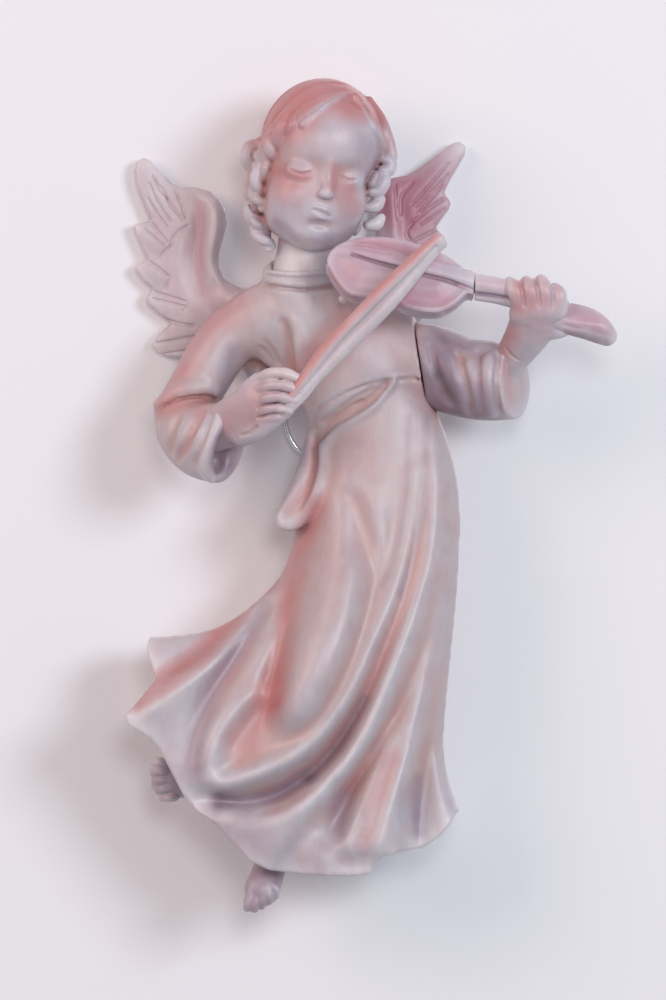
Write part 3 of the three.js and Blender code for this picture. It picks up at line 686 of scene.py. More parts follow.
def turned(yaw, pitch, roll):
    """Columns: right, forward and up of a piece that faces the viewer before it is turned."""
    yaw, pitch, roll = (math.radians(a) for a in (yaw, pitch, roll))
    right = np.array([math.cos(yaw), math.sin(yaw), 0.0])
    ahead = np.array([math.sin(yaw), -math.cos(yaw), 0.0])
    up = np.array([0, 0, 1])
    ahead, up = (ahead * math.cos(pitch) - up * math.sin(pitch),
                 up * math.cos(pitch) + ahead * math.sin(pitch))
    lean = np.array([[math.cos(roll), 0, math.sin(roll)], [0, 1, 0],
                     [-math.sin(roll), 0, math.cos(roll)]])
    return lean @ np.column_stack([right, ahead, up])


HEAD_AT = np.array([-4.9, -22, 52.5])
HEAD_TURN = turned(18.0, 5.0, 8.5)
CAP_AT = (2.8, -3.2, 4.2)  # middle and radii of the hair's cap, in the head's own axes
CAP_RADII = (15.2, 17.6, 16.4)
HAIRLINE = [
    (4.6, 66.8), (1, 65.4), (-2.8, 63.2), (-6.2, 60.6), (-9.4, 57.4), (-12, 54.4), (-14, 51.2),
    (-15.4, 47.4), (-16.2, 43), (-16, 39.5), (-15.6, 35), (-15, 26), (11, 26), (10, 35), (8.6, 40),
    (8.6, 45.6), (10.2, 50), (11.3, 54.2), (10.4, 58.6), (8.4, 63), (6.4, 66.2),
]


def on_head(*rows):
    """Rows of (right, ahead, up, radius) on the head, as stations in the figure's frame."""
    rows = np.array(rows, float)
    return np.column_stack([HEAD_AT + rows[:, :3] @ HEAD_TURN.T, rows[:, 3]])


def twist(clay, stations, strands=3, turns=1.5, thin=0.56, soft=0.5, start=0.0):
    """A lock of hair: strands that wind round the path through stations (x, y, z, radius)."""
    path = spline(stations, 7)
    along = np.gradient(path[:, :3], axis=0)
    along /= np.linalg.norm(along, axis=1)[:, None] + 1e-9
    side = np.cross(along, (0, 1, 0))
    side /= np.linalg.norm(side, axis=1)[:, None] + 1e-9
    ahead = np.cross(side, along)
    t = np.linspace(0.0, 1.0, len(path))
    radius = path[:, 3]
    for i in range(strands):
        angle = 2 * math.pi * (turns * t + i / strands + start)
        off = side * np.cos(angle)[:, None] + ahead * np.sin(angle)[:, None]
        centre = path[:, :3] + off * (radius * 0.5)[:, None]
        clay.strand(np.column_stack([centre, radius * thin]), soft, per=1)


def front_lock(clay, line, sink, **how):
    """A twisted lock along the front line (x, z, radius), sunk into what is there."""
    rows = np.array(line, float)
    y = clay.front(rows[:, 0], rows[:, 1]) + sink
    twist(clay, with_depth(rows, y), **how)


def make_face(clay):
    """A calm child's face with closed lids."""

    def ball(at, radii, soft=1.5, cut=False):
        clay.ball(HEAD_AT + HEAD_TURN @ np.array(at), radii, soft, HEAD_TURN, cut)

    ball((2, -2, 3.6), (14.4, 16.8, 15.4))
    ball((0.8, 2, -6.8), (12.6, 13.4, 14.6), 3.0)
    ball((0.6, 8.2, 5), (11.2, 7.2, 9), 5.0)
    for side in (-1, 1):
        ball((0.6 + 6.2 * side, 8.6, -9.6), (6, 5.8, 6.4), 3.0)
        ball((0.6 + 5.6 * side, 5.0, -15.0), (5.4, 6, 4.8), 4.0)
        ball((6.4 * side, 17.0, -1.2), (4.2, 2.2, 1.9), 3.0, cut=True)
        ball((6.3 * side, 11.9, -2.8), (3.8, 2.5, 2.5), 1.6)
        ball((1.15 * side, 15.6, -7.3), (0.85, 0.9, 0.75), 0.8)
    clay.strand(on_head((0, 14.4, 0.6, 0.8), (0, 15.1, -3, 0.9), (0, 16.3, -6, 1.15),
                        (0, 16.5, -6.9, 1.1)), 2.0)
    ball((0.2, 10, -17.2), (5.6, 4.2, 4.2), 4.5)
    ball((0, 12, -11.8), (4.8, 3, 3.4), 2.5)
    # lips, a little open
    clay.strand(on_head((-2.4, 14.4, -11, 0.35), (-1, 15.2, -10.8, 0.6), (0.1, 15.3, -11, 0.55),
                        (1.1, 15.1, -11.2, 0.6), (2.4, 14, -12.1, 0.35)), 0.7)
    clay.strand(on_head((-1.8, 14.4, -12.4, 0.4), (0.2, 15, -13.3, 0.75), (2, 14, -13.3, 0.4)), 0.7)
    clay.strand(on_head((-2.2, 15.3, -11.5, 0.3), (-0.8, 15.9, -11.9, 0.55),
                        (0.9, 15.8, -12.2, 0.6), (2.2, 15, -12.5, 0.3)), 0.3, cut=True)
    ball((0.2, 15.4, -15), (3, 1.2, 0.8), 1.6, cut=True)
    # closed lids
    clay.draw([(-10.6, 49.6, 0.25), (-9, 48.6, 0.35), (-7.2, 48.3, 0.35), (-5.2, 48.8, 0.25)], 0.2, 0.35)
    clay.draw([(2.4, 47.7, 0.25), (4.2, 46.8, 0.35), (6, 47, 0.25)], 0.2, 0.35)


def make_hair(clay):
    add_hair_cap(clay)
    draw_parting(clay)
    add_right_locks(clay)
    add_left_locks(clay)
    add_back_hair(clay)


def add_hair_cap(clay):
    cap = clay.blank()
    cap.ball(HEAD_AT + HEAD_TURN @ np.array(CAP_AT), CAP_RADII, 1.0, HEAD_TURN)
    # fullness over the temples and the nape
    cap.strand(on_head((13.6, 5, 9, 2.4), (15.6, 3, 2, 2.8), (15.4, 3, -4, 2.4)), 3.0)
    cap.strand(on_head((-9, 5, 9, 2.4), (-12.4, 1, 0, 2.8), (-12, -1, -8, 2.6)), 3.0)
    cap.ball(HEAD_AT + HEAD_TURN @ np.array((1.4, -5, -6)), (13, 13, 12), 4.0, HEAD_TURN)
    room = Map(-30.0, 22.0, 8.0, 82.0, 0.4)
    line = spline(HAIRLINE + HAIRLINE[:1], 3)[:, :2]
    face = room.over(room.signed(line), clay)
    y = clay.places()[1]
    face = smooth_max(face, np.broadcast_to(y - HEAD_AT[1] - 2.0, clay.d.shape), 1.0)
    cap.d = smooth_max(cap.d, -face, 0.6)
    clay.join(cap, 0.5)


def draw_parting(clay):
    """Combed lines of the cap, and the rolled edges along the parting."""
    for line in (
        [(4.4, 71.4, 0.4), (-3, 71.4, 0.5), (-10, 68, 0.5), (-15, 61.6, 0.4)],
        [(3.4, 69.9, 0.3), (-4, 68.4, 0.5), (-10, 64, 0.5), (-14.6, 58.4, 0.4)],
        [(7, 69.4, 0.3), (10.4, 66, 0.4), (12.6, 60.4, 0.4), (14.2, 55.6, 0.3)],
    ):
        clay.draw(line, 0.15, 0.7)
    # each roll has a dark line behind it
    clay.draw([(5.4, 68.3, 0.8), (2.2, 67.4, 1.1), (-1.6, 65.2, 1.2), (-4.8, 62.7, 1.2), (-7.2, 60.4, 1)],
              0.9, 0.7, cut=False)
    clay.draw([(2.9, 68.6, 0.3), (-0.6, 66.8, 0.4), (-3.8, 64.6, 0.45), (-7.2, 61.8, 0.45)], 0.7, 0.4)
    clay.draw([(6, 67.8, 0.9), (8.4, 64.4, 1), (10.4, 59.4, 1.1), (11.9, 54.9, 1), (12.4, 52.6, 0.8)],
              0.8, 0.7, cut=False)
    clay.draw([(7.4, 66.6, 0.3), (9.8, 62.4, 0.4), (11.8, 57.4, 0.45), (12.9, 53.4, 0.4)], 0.7, 0.4)
    clay.draw([(9.4, 67.6, 0.8), (12.2, 62.6, 1.4), (14.2, 56.6, 1.6), (15, 53.2, 1.4)],
              0.9, 1.0, cut=False)


def add_right_locks(clay):
    """Twisted locks and small curls on the figure's right."""
    front_lock(clay, [(-8.2, 61.8, 1.4), (-10.6, 60.2, 2.3), (-13.2, 57.6, 2.6), (-15, 54.6, 2.5),
                      (-15.6, 51.6, 1.7)], 0.7, strands=2, turns=1.7, thin=0.66)
    front_lock(clay, [(-16.6, 50.6, 1.5), (-18.2, 47.8, 2.2), (-18.6, 44.6, 2.3), (-17.8, 41.8, 2),
                      (-16.8, 40.2, 1.3)], 0.2, strands=2, turns=1.2, thin=0.66, start=0.3)
    clay.strand([(-17.4, -23.6, 41.6, 1.6), (-19.8, -23.6, 40.2, 2.3),
                 (-19, -23.8, 37.4, 2.3), (-16.6, -24.4, 36.8, 1.5)], 0.5)
    front_lock(clay, [(-19.2, 37.6, 1.4), (-18.4, 35.4, 2.1), (-16.8, 32.6, 2.1), (-15.1, 30.4, 1.2)],
               0.4, strands=2, turns=0.9, thin=0.66, start=0.6)
    clay.strand([(-18, -20.5, 56.4, 1.5), (-20.4, -20.5, 55.4, 2),
                 (-21, -20.5, 52.8, 2.1), (-19.6, -20.5, 50.4, 1.7)], 0.8)
    clay.strand([(-19.4, -20, 48.6, 1.5), (-20.6, -20, 46.4, 1.7), (-20.2, -20, 43.6, 1.6)], 0.8)
    clay.draw([(-18.4, 55.2, 0.4), (-19.6, 53.6, 0.5), (-19.2, 51.6, 0.4)], 0.7, 0.3)
    clay.draw([(-20.6, 41, 0.3), (-19.4, 39.6, 0.45), (-17.6, 38.6, 0.4)], 0.6, 0.3)


def add_left_locks(clay):
    for lock in (
        [(12.6, -24.5, 52.6, 1.2), (14.4, -24, 52, 1.6), (14.2, -24, 50, 1.7),
         (12.4, -25, 49.8, 1.2)],
        [(13, -24.6, 49, 1.3), (12.8, -24.8, 46.6, 1.8), (11.4, -25, 44.4, 1.7),
         (9.7, -26, 44.2, 1.2)],
        [(11, -26.4, 48.6, 1.1), (10, -26.8, 46.4, 1.3)],
        [(12.2, -24.6, 42.4, 1.2), (10.9, -24.8, 41, 1.8), (9.2, -25.6, 40.4, 1.3)],
        [(12.2, -24.6, 37.8, 1.2), (10.9, -24.8, 36.4, 1.8), (9, -25.4, 36, 1.3)],
    ):
        clay.strand(lock, 0.4)


def add_back_hair(clay):
    """Ringlets round the nape, and combed grooves from the crown down the back."""
    for i in range(8):
        turn = math.radians(168.0 - 22.5 * i)
        across, behind = 1.4 + 13.6 * math.cos(turn), -3.0 - 13.0 * math.sin(turn)
        low = -18.0 + 2.0 * math.sin(2.1 * i)
        twist(clay, on_head((across, behind, 2.0, 2.2), (across, behind, -5.0, 2.8),
                            (across, behind + 1.0, -12.0, 2.8), (across, behind + 2.5, low, 1.6)),
              turns=2.0, start=0.17 * i)
    for i in range(8):
        turn = math.radians(170.0 - 20.0 * i)
        across, behind = math.cos(turn), -math.sin(turn)
        groove = []
        for down in (0.35, 0.7, 1.05, 1.4):
            way = (across * math.sin(down), behind * math.sin(down), math.cos(down))
            groove.append([at + radius * w for at, radius, w in zip(CAP_AT, CAP_RADII, way)])
        clay.strand(on_head(*[(*place, 0.55) for place in groove]), 0.6, cut=True)


def make_head():
    clay = Clay((-25, -44, 18), (18.5, 1, 76), 0.33)
    make_face(clay)
    make_hair(clay)
    clay.strand([(-5.4, -21, 38, 7.6), (-6.6, -20, 30, 7.1), (-8.4, -18.6, 21, 7.3)], 1.2)
    return clay


HEAD_TINT_AND_SHADE = [
    # cheeks, bridge of the nose and the top of the forehead
    ([(-13, 47.4), (-10.6, 45.6)], 4.6, 0.8), ([(4.4, 43.6), (6.4, 41)], 3.8, 0.75),
    ([(0.8, 49.6), (-0.2, 45.4)], 1.6, 0.7), ([(-13, 49.4), (-6.4, 48)], 1.3, 0.4),
    ([(4.4, 66), (9.4, 61)], 3.6, 0.5), ([(-11, 57.6), (-6, 61)], 2.6, 0.35),
    # crown
    ([(-15, 61), (-9, 67.5), (0, 71), (8, 70)], 6.5, 1.1),
    ([(12.4, 65), (15, 56)], 2.8, 0.6),
    # painted shade: grey under the jaw, on the shaded temple and along the parting
    ([(-13.6, 36.4), (-9, 32.8), (-2.6, 31.4), (4, 33.4), (9, 38)], 1.3, -0.7),
    ([(-5, 36), (-1.4, 34.8)], 1.6, -0.4), ([(9, 58), (10, 50), (9, 43)], 3.0, -0.6),
    ([(-7.4, 61.4), (-3.8, 64.4), (2.8, 68.4)], 0.9, -0.6),
    ([(7.6, 66.4), (11.6, 57.6), (12.8, 53.4)], 0.9, -0.6),
    ([(-13, 57), (-17.6, 46), (-18, 34)], 3.0, -0.25),
]
RIGHT_HAND_WASH = [([(-26, -13), (-18, -8), (-11, -6)], 6.0, 0.4)]


# ------------------------------------------------------------------ arms


def beside(clay, other):
    """The distances of other's clay at the places of clay. Both share one grid spacing."""
    found = np.full(clay.d.shape, FAR, np.float32)
    start = np.rint((clay.low - other.low) / clay.step).astype(int)
    mine, theirs = [], []
    for i in range(3):
        first = max(0, -start[i])
        last = max(first, min(clay.d.shape[i], other.d.shape[i] - start[i]))
        mine.append(slice(first, last))
        theirs.append(slice(first + start[i], last + start[i]))
    found[tuple(mine)] = other.d[tuple(theirs)]
    return found


def add_right_sleeve(clay):
    """The bow arm's sleeve, which runs into the robe without a seam."""
    sleeve = clay.blank()
    sleeve.strand([(-12, -16.8, 13, 6.8), (-18.5, -16.8, 12.4, 7.4), (-24.8, -16.8, 9, 7.3),
                   (-29.6, -17.2, 3, 7.2), (-33.6, -17.8, -4, 7), (-37.2, -18.6, -10.6, 7.1)], 1.0)
    clay.join(sleeve, 3.5)
    # the torso's flank behind the bow hand
    clay.strand([(-20.6, -11, 6, 2.6), (-18.8, -12, -0.6, 2.8), (-15.6, -13, -5, 2.4),
                 (-11, -14, -6.4, 2.6)], 3.0)
    bell = clay.blank()
    bell.strand([(-36.9, -18.8, -12.8, 7.2), (-35.4, -21, -15.2, 8.4),
                 (-31.8, -25, -17.6, 9.6), (-27.8, -28.6, -18.4, 10)], 1.4)
    bell.slab((-25.4, -30.2, -18.2), (0.88, -0.42, -0.22), 2.4)
    bell.strand([(-20, -37, -18.6, 3.6), (-25.4, -33, -20.2, 4.4), (-28.8, -30.6, -22.4, 3.4)], 1.6,
                cut=True)
    clay.join(bell, 1.4)
    # inner side of the upper arm
    clay.ball((-23.6, -27.6, -1), (3.4, 6, 7.2), 1.0, cut=True)
    # elbow fold
    clay.draw([(-43.4, -8.6, 1.2), (-39, -5.6, 1.5), (-33.6, -4.4, 1.6), (-29.2, -5.4, 1.2)],
              0.7, 1.8, cut=False)
    clay.draw([(-43.6, -10, 0.35), (-39, -7.7, 0.5), (-34.4, -6.7, 0.5),
               (-31, -6.6, 0.5), (-28.1, -7.6, 0.4)], 0.7, 0.5)
    # folds of the bell
    clay.draw([(-31.6, -9.6, 0.7), (-33.6, -12.9, 1.2), (-36.2, -17.6, 1.3), (-38.6, -22.4, 0.9)], 0.7,
              1.6)
    clay.draw([(-29.4, -9, 0.7), (-30.6, -13, 1), (-32.6, -18.4, 1.2), (-34.4, -23.6, 1)], 0.8, 1.2)
    clay.draw([(-38.6, -12, 1), (-40.2, -16, 1.4), (-40.6, -20.4, 1.1)], 0.35, 1.6)
    # rolled rim
    clay.draw([(-26.4, -8.8, 0.8), (-28, -13.2, 1.1), (-30.2, -18.8, 1.2),
               (-31.6, -24.2, 1.2), (-30, -27.4, 1)], 0.5, 0.9, cut=False)


def make_left_sleeve():
    clay = Clay((13.5, -36, -15.5), (50.5, -6, 15), 0.5)
    clay.strand([(20, -18, 3, 9.2), (26.4, -18.6, 0.7, 10.2), (32.6, -20.2, -1.8, 9.9),
                 (39, -22, -2.7, 10), (47, -23.8, -3.6, 8.6)], 1.0)
    clay.slab((22.3, -18, 0), (-0.98, 0, -0.16), 0.4)
    clay.slab((45.8, -24, -3.6), (0.90, -0.43, 0.02), 0.6)
    clay.ball((48, -26, -4.4), (1.4, 6.4, 5.4), 0.8, cut=True)
    # rolled rim of the cuff
    clay.draw([(44.2, 4, 0.6), (43.3, 0.6, 0.8), (42.9, -3.6, 0.8), (43.4, -8, 0.8), (44.4, -10.8, 0.6)],
              0.5, 0.5, cut=False)
    # soft folds near the shoulder
    clay.draw([(24.6, 6, 0.6), (26, -2, 0.9), (29.6, -8.6, 0.8)], 0.5, 2.0)
    clay.draw([(24.6, 10.4, 0.8), (29.6, 5, 1.1), (34.6, 4, 0.9), (39.6, 5.6, 0.6)], 0.5, 2.0)
    # folds of the cuff
    clay.draw([(31.6, 3.4, 0.6), (32.4, -1.6, 1), (33.6, -6.6, 1.1), (34.8, -11.4, 0.8)], 0.8, 1.6)
    clay.draw([(36.6, 4.2, 0.5), (36.4, -1, 0.7), (37, -6.6, 0.7)], 0.3, 1.4)
    clay.draw([(39, 2.8, 0.9), (38.6, -2.2, 1.5), (39, -7.6, 1.5), (40, -11.2, 1)], 0.7, 1.4, cut=False)
    clay.draw([(41.4, 3.8, 0.6), (40.9, -1.4, 0.8), (41.1, -6.8, 0.8), (42, -11, 0.6)], 0.9, 0.9)
    return clay


def make_right_hand():
    clay = Clay((-34, -50, -23.5), (-3, -22, 4.5), 0.25)
    clay.strand([(-31, -26.6, -16, 5.2), (-26.4, -31, -13.8, 5.8), (-22, -35.4, -11.4, 6.1),
                 (-18.2, -38.8, -8.4, 5.8)], 1.0, flat=0.75, normal=(0.3, -0.9, 0.2))
    clay.strand([(-20.4, -38.2, -5.4, 2.6), (-17.4, -40.4, -3.4, 2.6),
                 (-16.4, -41, -7.6, 2.9), (-17, -40.2, -11.4, 2.7)], 1.4)
    # heel of the hand, under the fingers
    clay.strand([(-22.4, -34.6, -16.4, 2.8), (-18.4, -38.4, -15, 2.7),
                 (-14.2, -41.4, -12.4, 2.2), (-10.8, -43.2, -10.2, 1.6)], 1.2)
    for finger in (
        [(-18.6, -40.6, -3.2, 1.5), (-15.6, -43.4, -1.5, 1.6), (-12.4, -45.4, -1.2, 1.4),
         (-11, -45.6, -1.5, 1.5), (-7.7, -45.2, -2.8, 1.2)],
        [(-18.4, -41.6, -5.6, 1.5), (-15.8, -44.4, -4.3, 1.6), (-12.6, -46, -4.2, 1.35),
         (-11.2, -46.2, -4.4, 1.5), (-8.2, -45.6, -5.5, 1.2)],
        [(-18.2, -41.8, -8.2, 1.5), (-15.8, -44.4, -7.2, 1.6), (-13, -45.8, -7, 1.3),
         (-11.8, -46, -7.2, 1.45), (-9.2, -45.2, -8, 1.1)],
        [(-18.4, -41.2, -10.8, 1.4), (-16.2, -43.6, -10, 1.5), (-14, -44.8, -9.8, 1.25),
         (-12.8, -45, -9.9, 1.35), (-10.6, -44.4, -10.4, 1.1)],
        [(-18.4, -40.2, -13, 1.3), (-16, -42.2, -12.3, 1.3), (-13.4, -43.4, -11.9, 1.1)],
    ):
        clay.strand(finger, 0.35)
    for line in ([(-18.6, -4.6, 0.3), (-14, -2.9, 0.4), (-9, -3.8, 0.3)],
                 [(-18.4, -7.2, 0.3), (-14.4, -5.8, 0.4), (-9.6, -6.4, 0.3)],
                 [(-18.4, -9.8, 0.3), (-14.6, -8.6, 0.4), (-10.6, -8.9, 0.3)],
                 [(-18.4, -12.2, 0.3), (-15, -11.1, 0.35), (-12, -11, 0.3)]):
        clay.draw(line, 0.5, 0.3)
    clay.draw([(-22.6, -16.6, 0.3), (-20.4, -15.9, 0.4), (-18.6, -14.4, 0.35)], 0.4, 0.5)
    return clay


def make_left_hand():
    clay = Clay((37, -45, -4.5), (62, -20, 27), 0.25)
    clay.strand([(42.6, -23.4, 0, 4.2), (45.6, -26.4, 4, 4.7), (48.6, -30.4, 8.6, 5.6),
                 (50.8, -33.6, 13, 6.4)], 1.0, flat=0.78, normal=(0.2, -0.9, -0.4))
    clay.strand([(46.6, -36, 13.8, 2.6), (51, -37.6, 14.8, 3), (55.6, -36.8, 14.6, 2.8)], 1.6)
    for finger in (
        [(47.4, -36.8, 14.6, 2.4), (46.4, -38.4, 17.4, 2.3), (45.2, -38.8, 19.6, 2.1),
         (44.4, -37.2, 21, 1.8), (44.4, -34.6, 21.4, 1.6)],
        [(50.2, -37.6, 15, 2.4), (49.8, -39.1, 17.8, 2.2), (48.9, -39.4, 19.8, 2.1),
         (48.4, -37.6, 21.2, 1.8), (48.4, -35, 21.6, 1.6)],
        [(53, -37.6, 15, 2.4), (53, -39, 17.8, 2.2), (52.4, -39.2, 20, 2.1),
         (52, -37.4, 21.6, 1.8), (52, -34.6, 21.9, 1.6)],
        [(55.6, -36.6, 14.8, 2.2), (56.2, -38, 17, 2.1), (56.1, -38, 18.8, 1.9),
         (55.6, -36.2, 19.8, 1.6), (55.4, -33.6, 20, 1.5)],
    ):
        clay.strand(finger, 1.3)
    for line in ([(47.6, 15.6, 0.3), (47.1, 19, 0.4), (46.6, 22, 0.35)],
                 [(51.4, 15.6, 0.3), (51, 19, 0.4), (50.4, 22.4, 0.35)],
                 [(54.6, 15.4, 0.3), (54.7, 18.4, 0.4), (54.2, 21.2, 0.35)]):
        clay.draw(line, 0.35, 0.5)
    # thumb, behind and under the neck
    clay.strand([(52.6, -32.6, 9.6, 2.4), (56.4, -33.4, 9.8, 2.2), (59.4, -34, 11, 1.8)], 1.2)
    clay.draw([(43.2, 5.4, 0.3), (44.6, 3.6, 0.4), (46.4, 2.2, 0.3)], 0.4, 0.4)
    return clay


LEFT_HAND_WASH = [
    ([(46, 21.4), (46.2, 15)], 1.6, 0.5), ([(49.6, 21.6), (49.8, 15.6)], 1.2, 0.25),
    ([(53, 21.6), (53, 15.6)], 1.2, 0.25), ([(56.4, 19.6), (56, 15)], 1.2, 0.3),
    ([(43.8, 8), (42.6, 4.6)], 2.4, 0.7), ([(50, 19), (50, 14)], 6.0, 0.35),
]


# ------------------------------------------------------------------ violin and bow

VIOLIN_AT = np.array([17.1, -35.6, 22.8])
VIOLIN_TURN = turned(0.0, -22.0, 9.2)  # belly tipped up, scroll end lower
VIOLIN_THICK = 6.0
# The upper and lower edge from the end button to the neck: (along, across)
VIOLIN_TOP = [(-19, 0.9), (-18, 3.6), (-14.6, 6.6), (-8.4, 8.8), (-2.2, 9.2), (3.3, 8.7),
              (9.5, 7.3), (15.3, 4.4), (18.6, 3.6)]
VIOLIN_LOW = [(-18.6, -1), (-15.6, -5), (-12.2, -7.8), (-8.1, -8.1), (-2.4, -7.5), (-0.4, -7.8),
              (2.4, -9), (7, -9.3), (11.2, -8.5), (14.4, -6), (17, -2.6), (18.6, -2.2)]


def make_violin_body():
    clay = Clay((-4, -45.5, 8.5), (37, -24, 37), 0.3)
    room = Map(-26.0, 26.0, -18.0, 18.0, 0.25)
    outline = spline(VIOLIN_TOP + VIOLIN_LOW[::-1], 5)
    outline = np.vstack([outline, outline[:1]])
    edge = room.signed(outline)
    off = [p - q for p, q in zip(clay.places(), VIOLIN_AT)]
    along, ahead, across = (sum(o * v for o, v in zip(off, VIOLIN_TURN[:, i])) for i in range(3))
    i = np.clip((along - room.x[0]) / room.step, 0, room.shape[0] - 1.001)
    k = np.clip((across - room.z[0]) / room.step, 0, room.shape[1] - 1.001)
    a, c = i.astype(int), k.astype(int)
    p, q = i - a, k - c
    flat = (edge[a, c] * (1 - p) + edge[a + 1, c] * p) * (1 - q)
    flat += (edge[a, c + 1] * (1 - p) + edge[a + 1, c + 1] * p) * q
    # a channel inside the rim, and an arched belly
    inner = np.maximum(-flat, 0.0)
    arch = -0.25 * ease(inner, 0.9, 1.4) + 1.5 * ease(inner, 1.6, 7.0)
    belly = ahead - VIOLIN_THICK / 2 - arch
    back = -ahead - VIOLIN_THICK / 2 - 0.6 * ease(inner, 1.0, 7.0)
    ribs = flat + 0.35 * ease(VIOLIN_THICK / 2 - np.abs(ahead), 0.9, 1.5)
    clay.d = smooth_max(smooth_max(belly, back, 0.4), ribs, 1.6).astype(np.float32)

    def rail(line, sink, flatness, soft, cut=False):
        """A strand along a front line, on the belly."""
        path = spline(line, 6)
        y = clay.front(path[:, 0], path[:, 1])
        y = smooth_line(y, 3) + sink
        clay.strand(with_depth(path, y), soft, flatness, VIOLIN_TURN[:, 1], cut, per=1)

    # fingerboard and strings, with the crack along their lower side
    rail([(2.6, 29.6, 0.9), (7, 29, 1.5), (12, 27.8, 1.9), (19, 25.9, 2.1),
          (26, 24.4, 2.2), (36, 21.7, 2.3)], 0.0, 0.62, 0.5)
    rail([(4.6, 28.6, 0.3), (10, 26.7, 0.4), (16.6, 25, 0.45), (22.9, 23.2, 0.5),
          (27.6, 22.1, 0.5), (30.8, 21.1, 0.5), (36, 18.9, 0.5)], 0.1, 1.0, 0.3, cut=True)
    # carved ridges beside the tailpiece, and the end button
    rail([(3.4, 30.6, 0.5), (8, 30.6, 0.7), (13, 29.6, 0.7), (17, 28.2, 0.5)], 0.1, 1.0, 0.6)
    rail([(4.4, 30.1, 0.25), (9, 29.6, 0.35), (14, 28.5, 0.35)], -0.2, 1.0, 0.3, cut=True)
    clay.ball((3, -34, 17.4), (1.4, 1.6, 1.2), 0.8)
    clay.slab((35.3, -36, 21), (1, 0, -0.02), 0.2)
    # root of the neck, let into the body
    clay.strand([(33, -34.6, 20.6, 1.5), (36.8, -34.6, 20.2, 1.5)], 0.2)
    return clay


VIOLIN_TINT_AND_SHADE = [
    # salmon on the bouts and along the upper edge; painted shade, grey, along the lower rim; dark along
    # the crack under the strings
    ([(1, 22), (5, 20)], 5.0, 0.35), ([(17, 17.4), (27, 17.4)], 3.6, 0.75),
    ([(7, 31.6), (24, 28)], 2.4, 0.6), ([(14, 12.6), (26, 12)], 2.0, -0.8),
    ([(5, 28.2), (10, 26.6), (16.7, 24.9), (23, 23.1), (31, 20.9)], 0.5, -1.2),
]
NECK_TINT_AND_SHADE = [
    # salmon on the head's upper face and along the fingerboard; painted shade, dark, in the line of peg
    # holes; dark along the glued line under the fingerboard
    ([(59, 14), (68, 10)], 2.8, 0.5), ([(58.6, 8.8), (68, 6.6)], 1.3, -0.9),
    ([(36, 21.4), (44, 20.4)], 1.6, 0.35), ([(36, 18.6), (44, 17.6)], 0.5, -1.3),
]


def make_violin_neck():
    clay = Clay((34.8, -41.5, 2.5), (73.5, -28, 27), 0.25)
    # fingerboard above, neck below, with the glued line between them
    clay.strand([(34.6, -37.6, 21.6, 2.4), (41, -37.2, 20.6, 2.3), (48, -36.4, 19, 2.2),
                 (57, -35.6, 15.4, 2.3)], 0.5, flat=0.8, normal=(0.1, -0.8, 0.4))
    clay.strand([(34.8, -35.8, 18.9, 1.8), (41, -35.6, 17.9, 1.8), (48, -35.2, 16, 2),
                 (57, -34.8, 12.6, 2.4)], 0.3)
    # peg box and head, with a flat upper face and a dark line of peg holes below it
    head = clay.blank()
    head.strand([(55, -34.8, 13.4, 3.4), (59.4, -34.6, 12.5, 4.1), (63.6, -34.4, 11.2, 4),
                 (66.6, -34.2, 9.6, 3.4), (68.2, -34, 8.3, 2.6)], 1.0, flat=0.85, normal=(0, 1, 0.3))
    head.slab((63, -37, 12.6), (0.12, -0.76, 0.64), 0.4)
    head.slab((64, -36.4, 8.6), (0, -0.8, -0.6), 0.4)
    for path in ([(57.8, -37.6, 10.6, 0.5), (59.6, -37.8, 9.9, 0.8), (61.4, -37.6, 9.5, 0.5)],
                 [(63.4, -37.4, 8.9, 0.4), (65, -37.4, 8.3, 0.6), (66.6, -37, 7.6, 0.4)]):
        head.strand(path, 0.5, cut=True)
    clay.join(head, 0.6)
    clay.slab((35.42, -36, 20), (-1, 0, 0.02), 0.2)
    return clay


def make_bow():
    clay = Clay((-16, -50, -15), (31.5, -40, 37.5), 0.3)
    clay.strand([(-10.6, -45.2, -8, 1.4), (-7.4, -46, -3.6, 1.6), (-1.4, -46.6, 4.6, 1.75),
                 (5.2, -46.9, 11.5, 1.75), (13.2, -47.2, 19.8, 1.75), (21.1, -47.3, 27.2, 1.7),
                 (26.4, -47.1, 31.9, 1.5)], 0.5)
    clay.strand([(-11.4, -43.8, -10.4, 1.5), (-8, -44.4, -6.6, 1.9), (-3.6, -44.8, -1, 2.2),
                 (3.6, -45.2, 6, 2.2), (10.8, -45.4, 12.9, 2.1), (15.4, -45.6, 17.7, 2),
                 (21.8, -45.8, 25.3, 1.8), (26, -46.2, 29.9, 1.4)], 0.9)
    clay.strand([(26, -46.8, 31.6, 1.6), (27, -46.6, 31, 1.5)], 0.9)
    clay.draw([(-9.6, -8, 0.3), (-3, -0.4, 0.4), (4.2, 8.2, 0.4), (12, 16.2, 0.4),
               (20.6, 24.6, 0.35), (25.6, 30, 0.25)], 0.3, 0.7)
    return clay


# stained along the stick's upper side
BOW_WASH = [
    ([(-11.4, -7.4), (-8.2, -3), (-2.2, 5.2), (4.4, 12.1), (12.4, 20.4), (25.6, 32.6)], 1.3, 0.9),
]


# ------------------------------------------------------------------ wings

